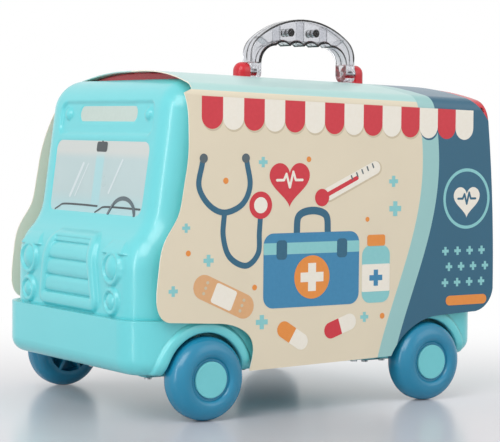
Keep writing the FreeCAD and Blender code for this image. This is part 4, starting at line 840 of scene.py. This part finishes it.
# metres and watts; each lamp is watts, width, height and place
studio = {"floorNear": "#D6D5DA", "floorFar": "#F2F3F7", "half": 4.0, "fadeStart": -0.12, "fadeEnd": 0.55,
          "floorRough": 0.22, "floorIor": 1.45, "white": (1.0, 1.0, 1.0, 1.0), "ambient": 0.55,
          "aim": (0.0, 0.0, 0.13),
          "lamps": {"keyLight": (22.0, 1.3, 1.3, (-1.5, -1.0, 1.7)),
                    "fillLight": (9.0, 1.6, 1.6, (1.1, -1.8, 1.2)),
                    "stripLight": (7.0, 0.14, 1.5, (-1.78, -0.34, 0.55))}}
camera = {"place": (-0.86008, -1.28924, 0.22444), "pixels": 1849.0, "imageWidth": 500.0, "yaw": 33.88,
          "pitch": 2.98, "roll": 0.49, "sensor": 36.0, "near": 0.01}


def seenPlainly(tree):
    # 1 for rays from the camera, through clear plastic or off a gloss, 0 for all others
    ray = addNode(tree, "LightPath")
    seen = addNode(tree, "Math", {"operation": "ADD"},
                   {0: ray.outputs["Is Camera Ray"], 1: ray.outputs["Is Transmission Ray"]})
    return addNode(tree, "Math", {"operation": "ADD", "use_clamp": True},
                   {0: seen.outputs[0], 1: ray.outputs["Is Glossy Ray"]}).outputs[0]


def paleFloor():
    # satin studio floor: grey near the camera, brightening to white behind the object
    made, tree, place = freshMaterial("paleFloor")
    yaw = math.radians(camera["yaw"])
    along = addNode(tree, "VectorMath", {"operation": "DOT_PRODUCT", 1: (math.sin(yaw), math.cos(yaw), 0.0)},
                    {0: place})
    fade = addNode(tree, "MapRange", {"interpolation_type": "SMOOTHSTEP", "From Min": studio["fadeStart"],
                                      "From Max": studio["fadeEnd"]}, {"Value": along.outputs["Value"]})
    colour = addNode(tree, "Mix", {"data_type": "RGBA", 6: linearHex(studio["floorNear"]),
                                   7: linearHex(studio["floorFar"])}, {0: fade.outputs["Result"]})
    shader = addNode(tree, "BsdfPrincipled", {"Roughness": studio["floorRough"], "IOR": studio["floorIor"]},
                     {"Base Color": colour.outputs[2]})
    white = addNode(tree, "Emission", {"Color": studio["white"], "Strength": 1.0})
    share = addNode(tree, "Math", {"operation": "MULTIPLY"},
                    {0: fade.outputs["Result"], 1: seenPlainly(tree)})
    mixed = addNode(tree, "MixShader", {},
                    {0: share.outputs[0], 1: shader.outputs["BSDF"], 2: white.outputs["Emission"]})
    addNode(tree, "OutputMaterial", {}, {"Surface": mixed.outputs["Shader"]})
    return made


def layFloor():
    half = studio["half"]
    mesh = bpy.data.meshes.new("floor")
    corners = [(-half, -half, 0), (half, -half, 0), (half, half, 0), (-half, half, 0)]
    mesh.from_pydata(corners, [], [(0, 1, 2, 3)])
    mesh.materials.append(paleFloor())
    floor = bpy.data.objects.new("floor", mesh)
    bpy.context.scene.collection.objects.link(floor)


def setPlace(made, place, right, up, back):
    # puts an object in the scene at a place, with its own x, y and z along three directions
    turn = Matrix(np.stack([right, up, back], axis=1).tolist())
    made.matrix_world = Matrix.Translation(place) @ turn.to_4x4()
    bpy.context.scene.collection.objects.link(made)


def lightStudio():
    # a white room to the camera and to reflections, a plain soft light to everything else
    world = bpy.data.worlds.new("studioRoom")
    world.use_nodes = True
    tree = world.node_tree
    tree.nodes.clear()
    level = addNode(tree, "MapRange", {"To Min": studio["ambient"], "To Max": 1.0},
                    {"Value": seenPlainly(tree)})
    room = addNode(tree, "Background", {"Color": studio["white"]}, {"Strength": level.outputs["Result"]})
    addNode(tree, "OutputWorld", {}, {"Surface": room.outputs["Background"]})
    bpy.context.scene.world = world
    for name, (watts, wide, tall, place) in studio["lamps"].items():
        lamp = bpy.data.lights.new(name, "AREA")
        lamp.energy = watts
        lamp.shape = "RECTANGLE"
        lamp.size = wide
        lamp.size_y = tall
        aim = np.array(studio["aim"]) - np.array(place)
        back = -aim / np.linalg.norm(aim)
        right = np.cross([0, 0, 1], back)
        right = right / np.linalg.norm(right)
        setPlace(bpy.data.objects.new(name, lamp), place, right, np.cross(back, right), back)


def setCamera():
    # camera axes from yaw, pitch and roll; the lens keeps the photograph's pixels on the sensor
    yaw, pitch, roll = (math.radians(camera[key]) for key in ("yaw", "pitch", "roll"))
    ahead = np.array([math.sin(yaw) * math.cos(pitch), math.cos(yaw) * math.cos(pitch), -math.sin(pitch)])
    right = np.array([math.cos(yaw), -math.sin(yaw), 0.0])
    up = np.cross(right, ahead)
    right = math.cos(roll) * right + math.sin(roll) * up
    up = np.cross(right, ahead)
    view = bpy.data.cameras.new("photoView")
    view.sensor_fit = "HORIZONTAL"
    view.sensor_width = camera["sensor"]
    view.lens = camera["pixels"] * camera["sensor"] / camera["imageWidth"]
    view.clip_start = camera["near"]
    made = bpy.data.objects.new("photoView", view)
    setPlace(made, camera["place"], right, up, -ahead)
    bpy.context.scene.camera = made


layFloor()
lightStudio()
setCamera()
bpy.context.scene.view_settings.view_transform = "Standard"
print("studio set")
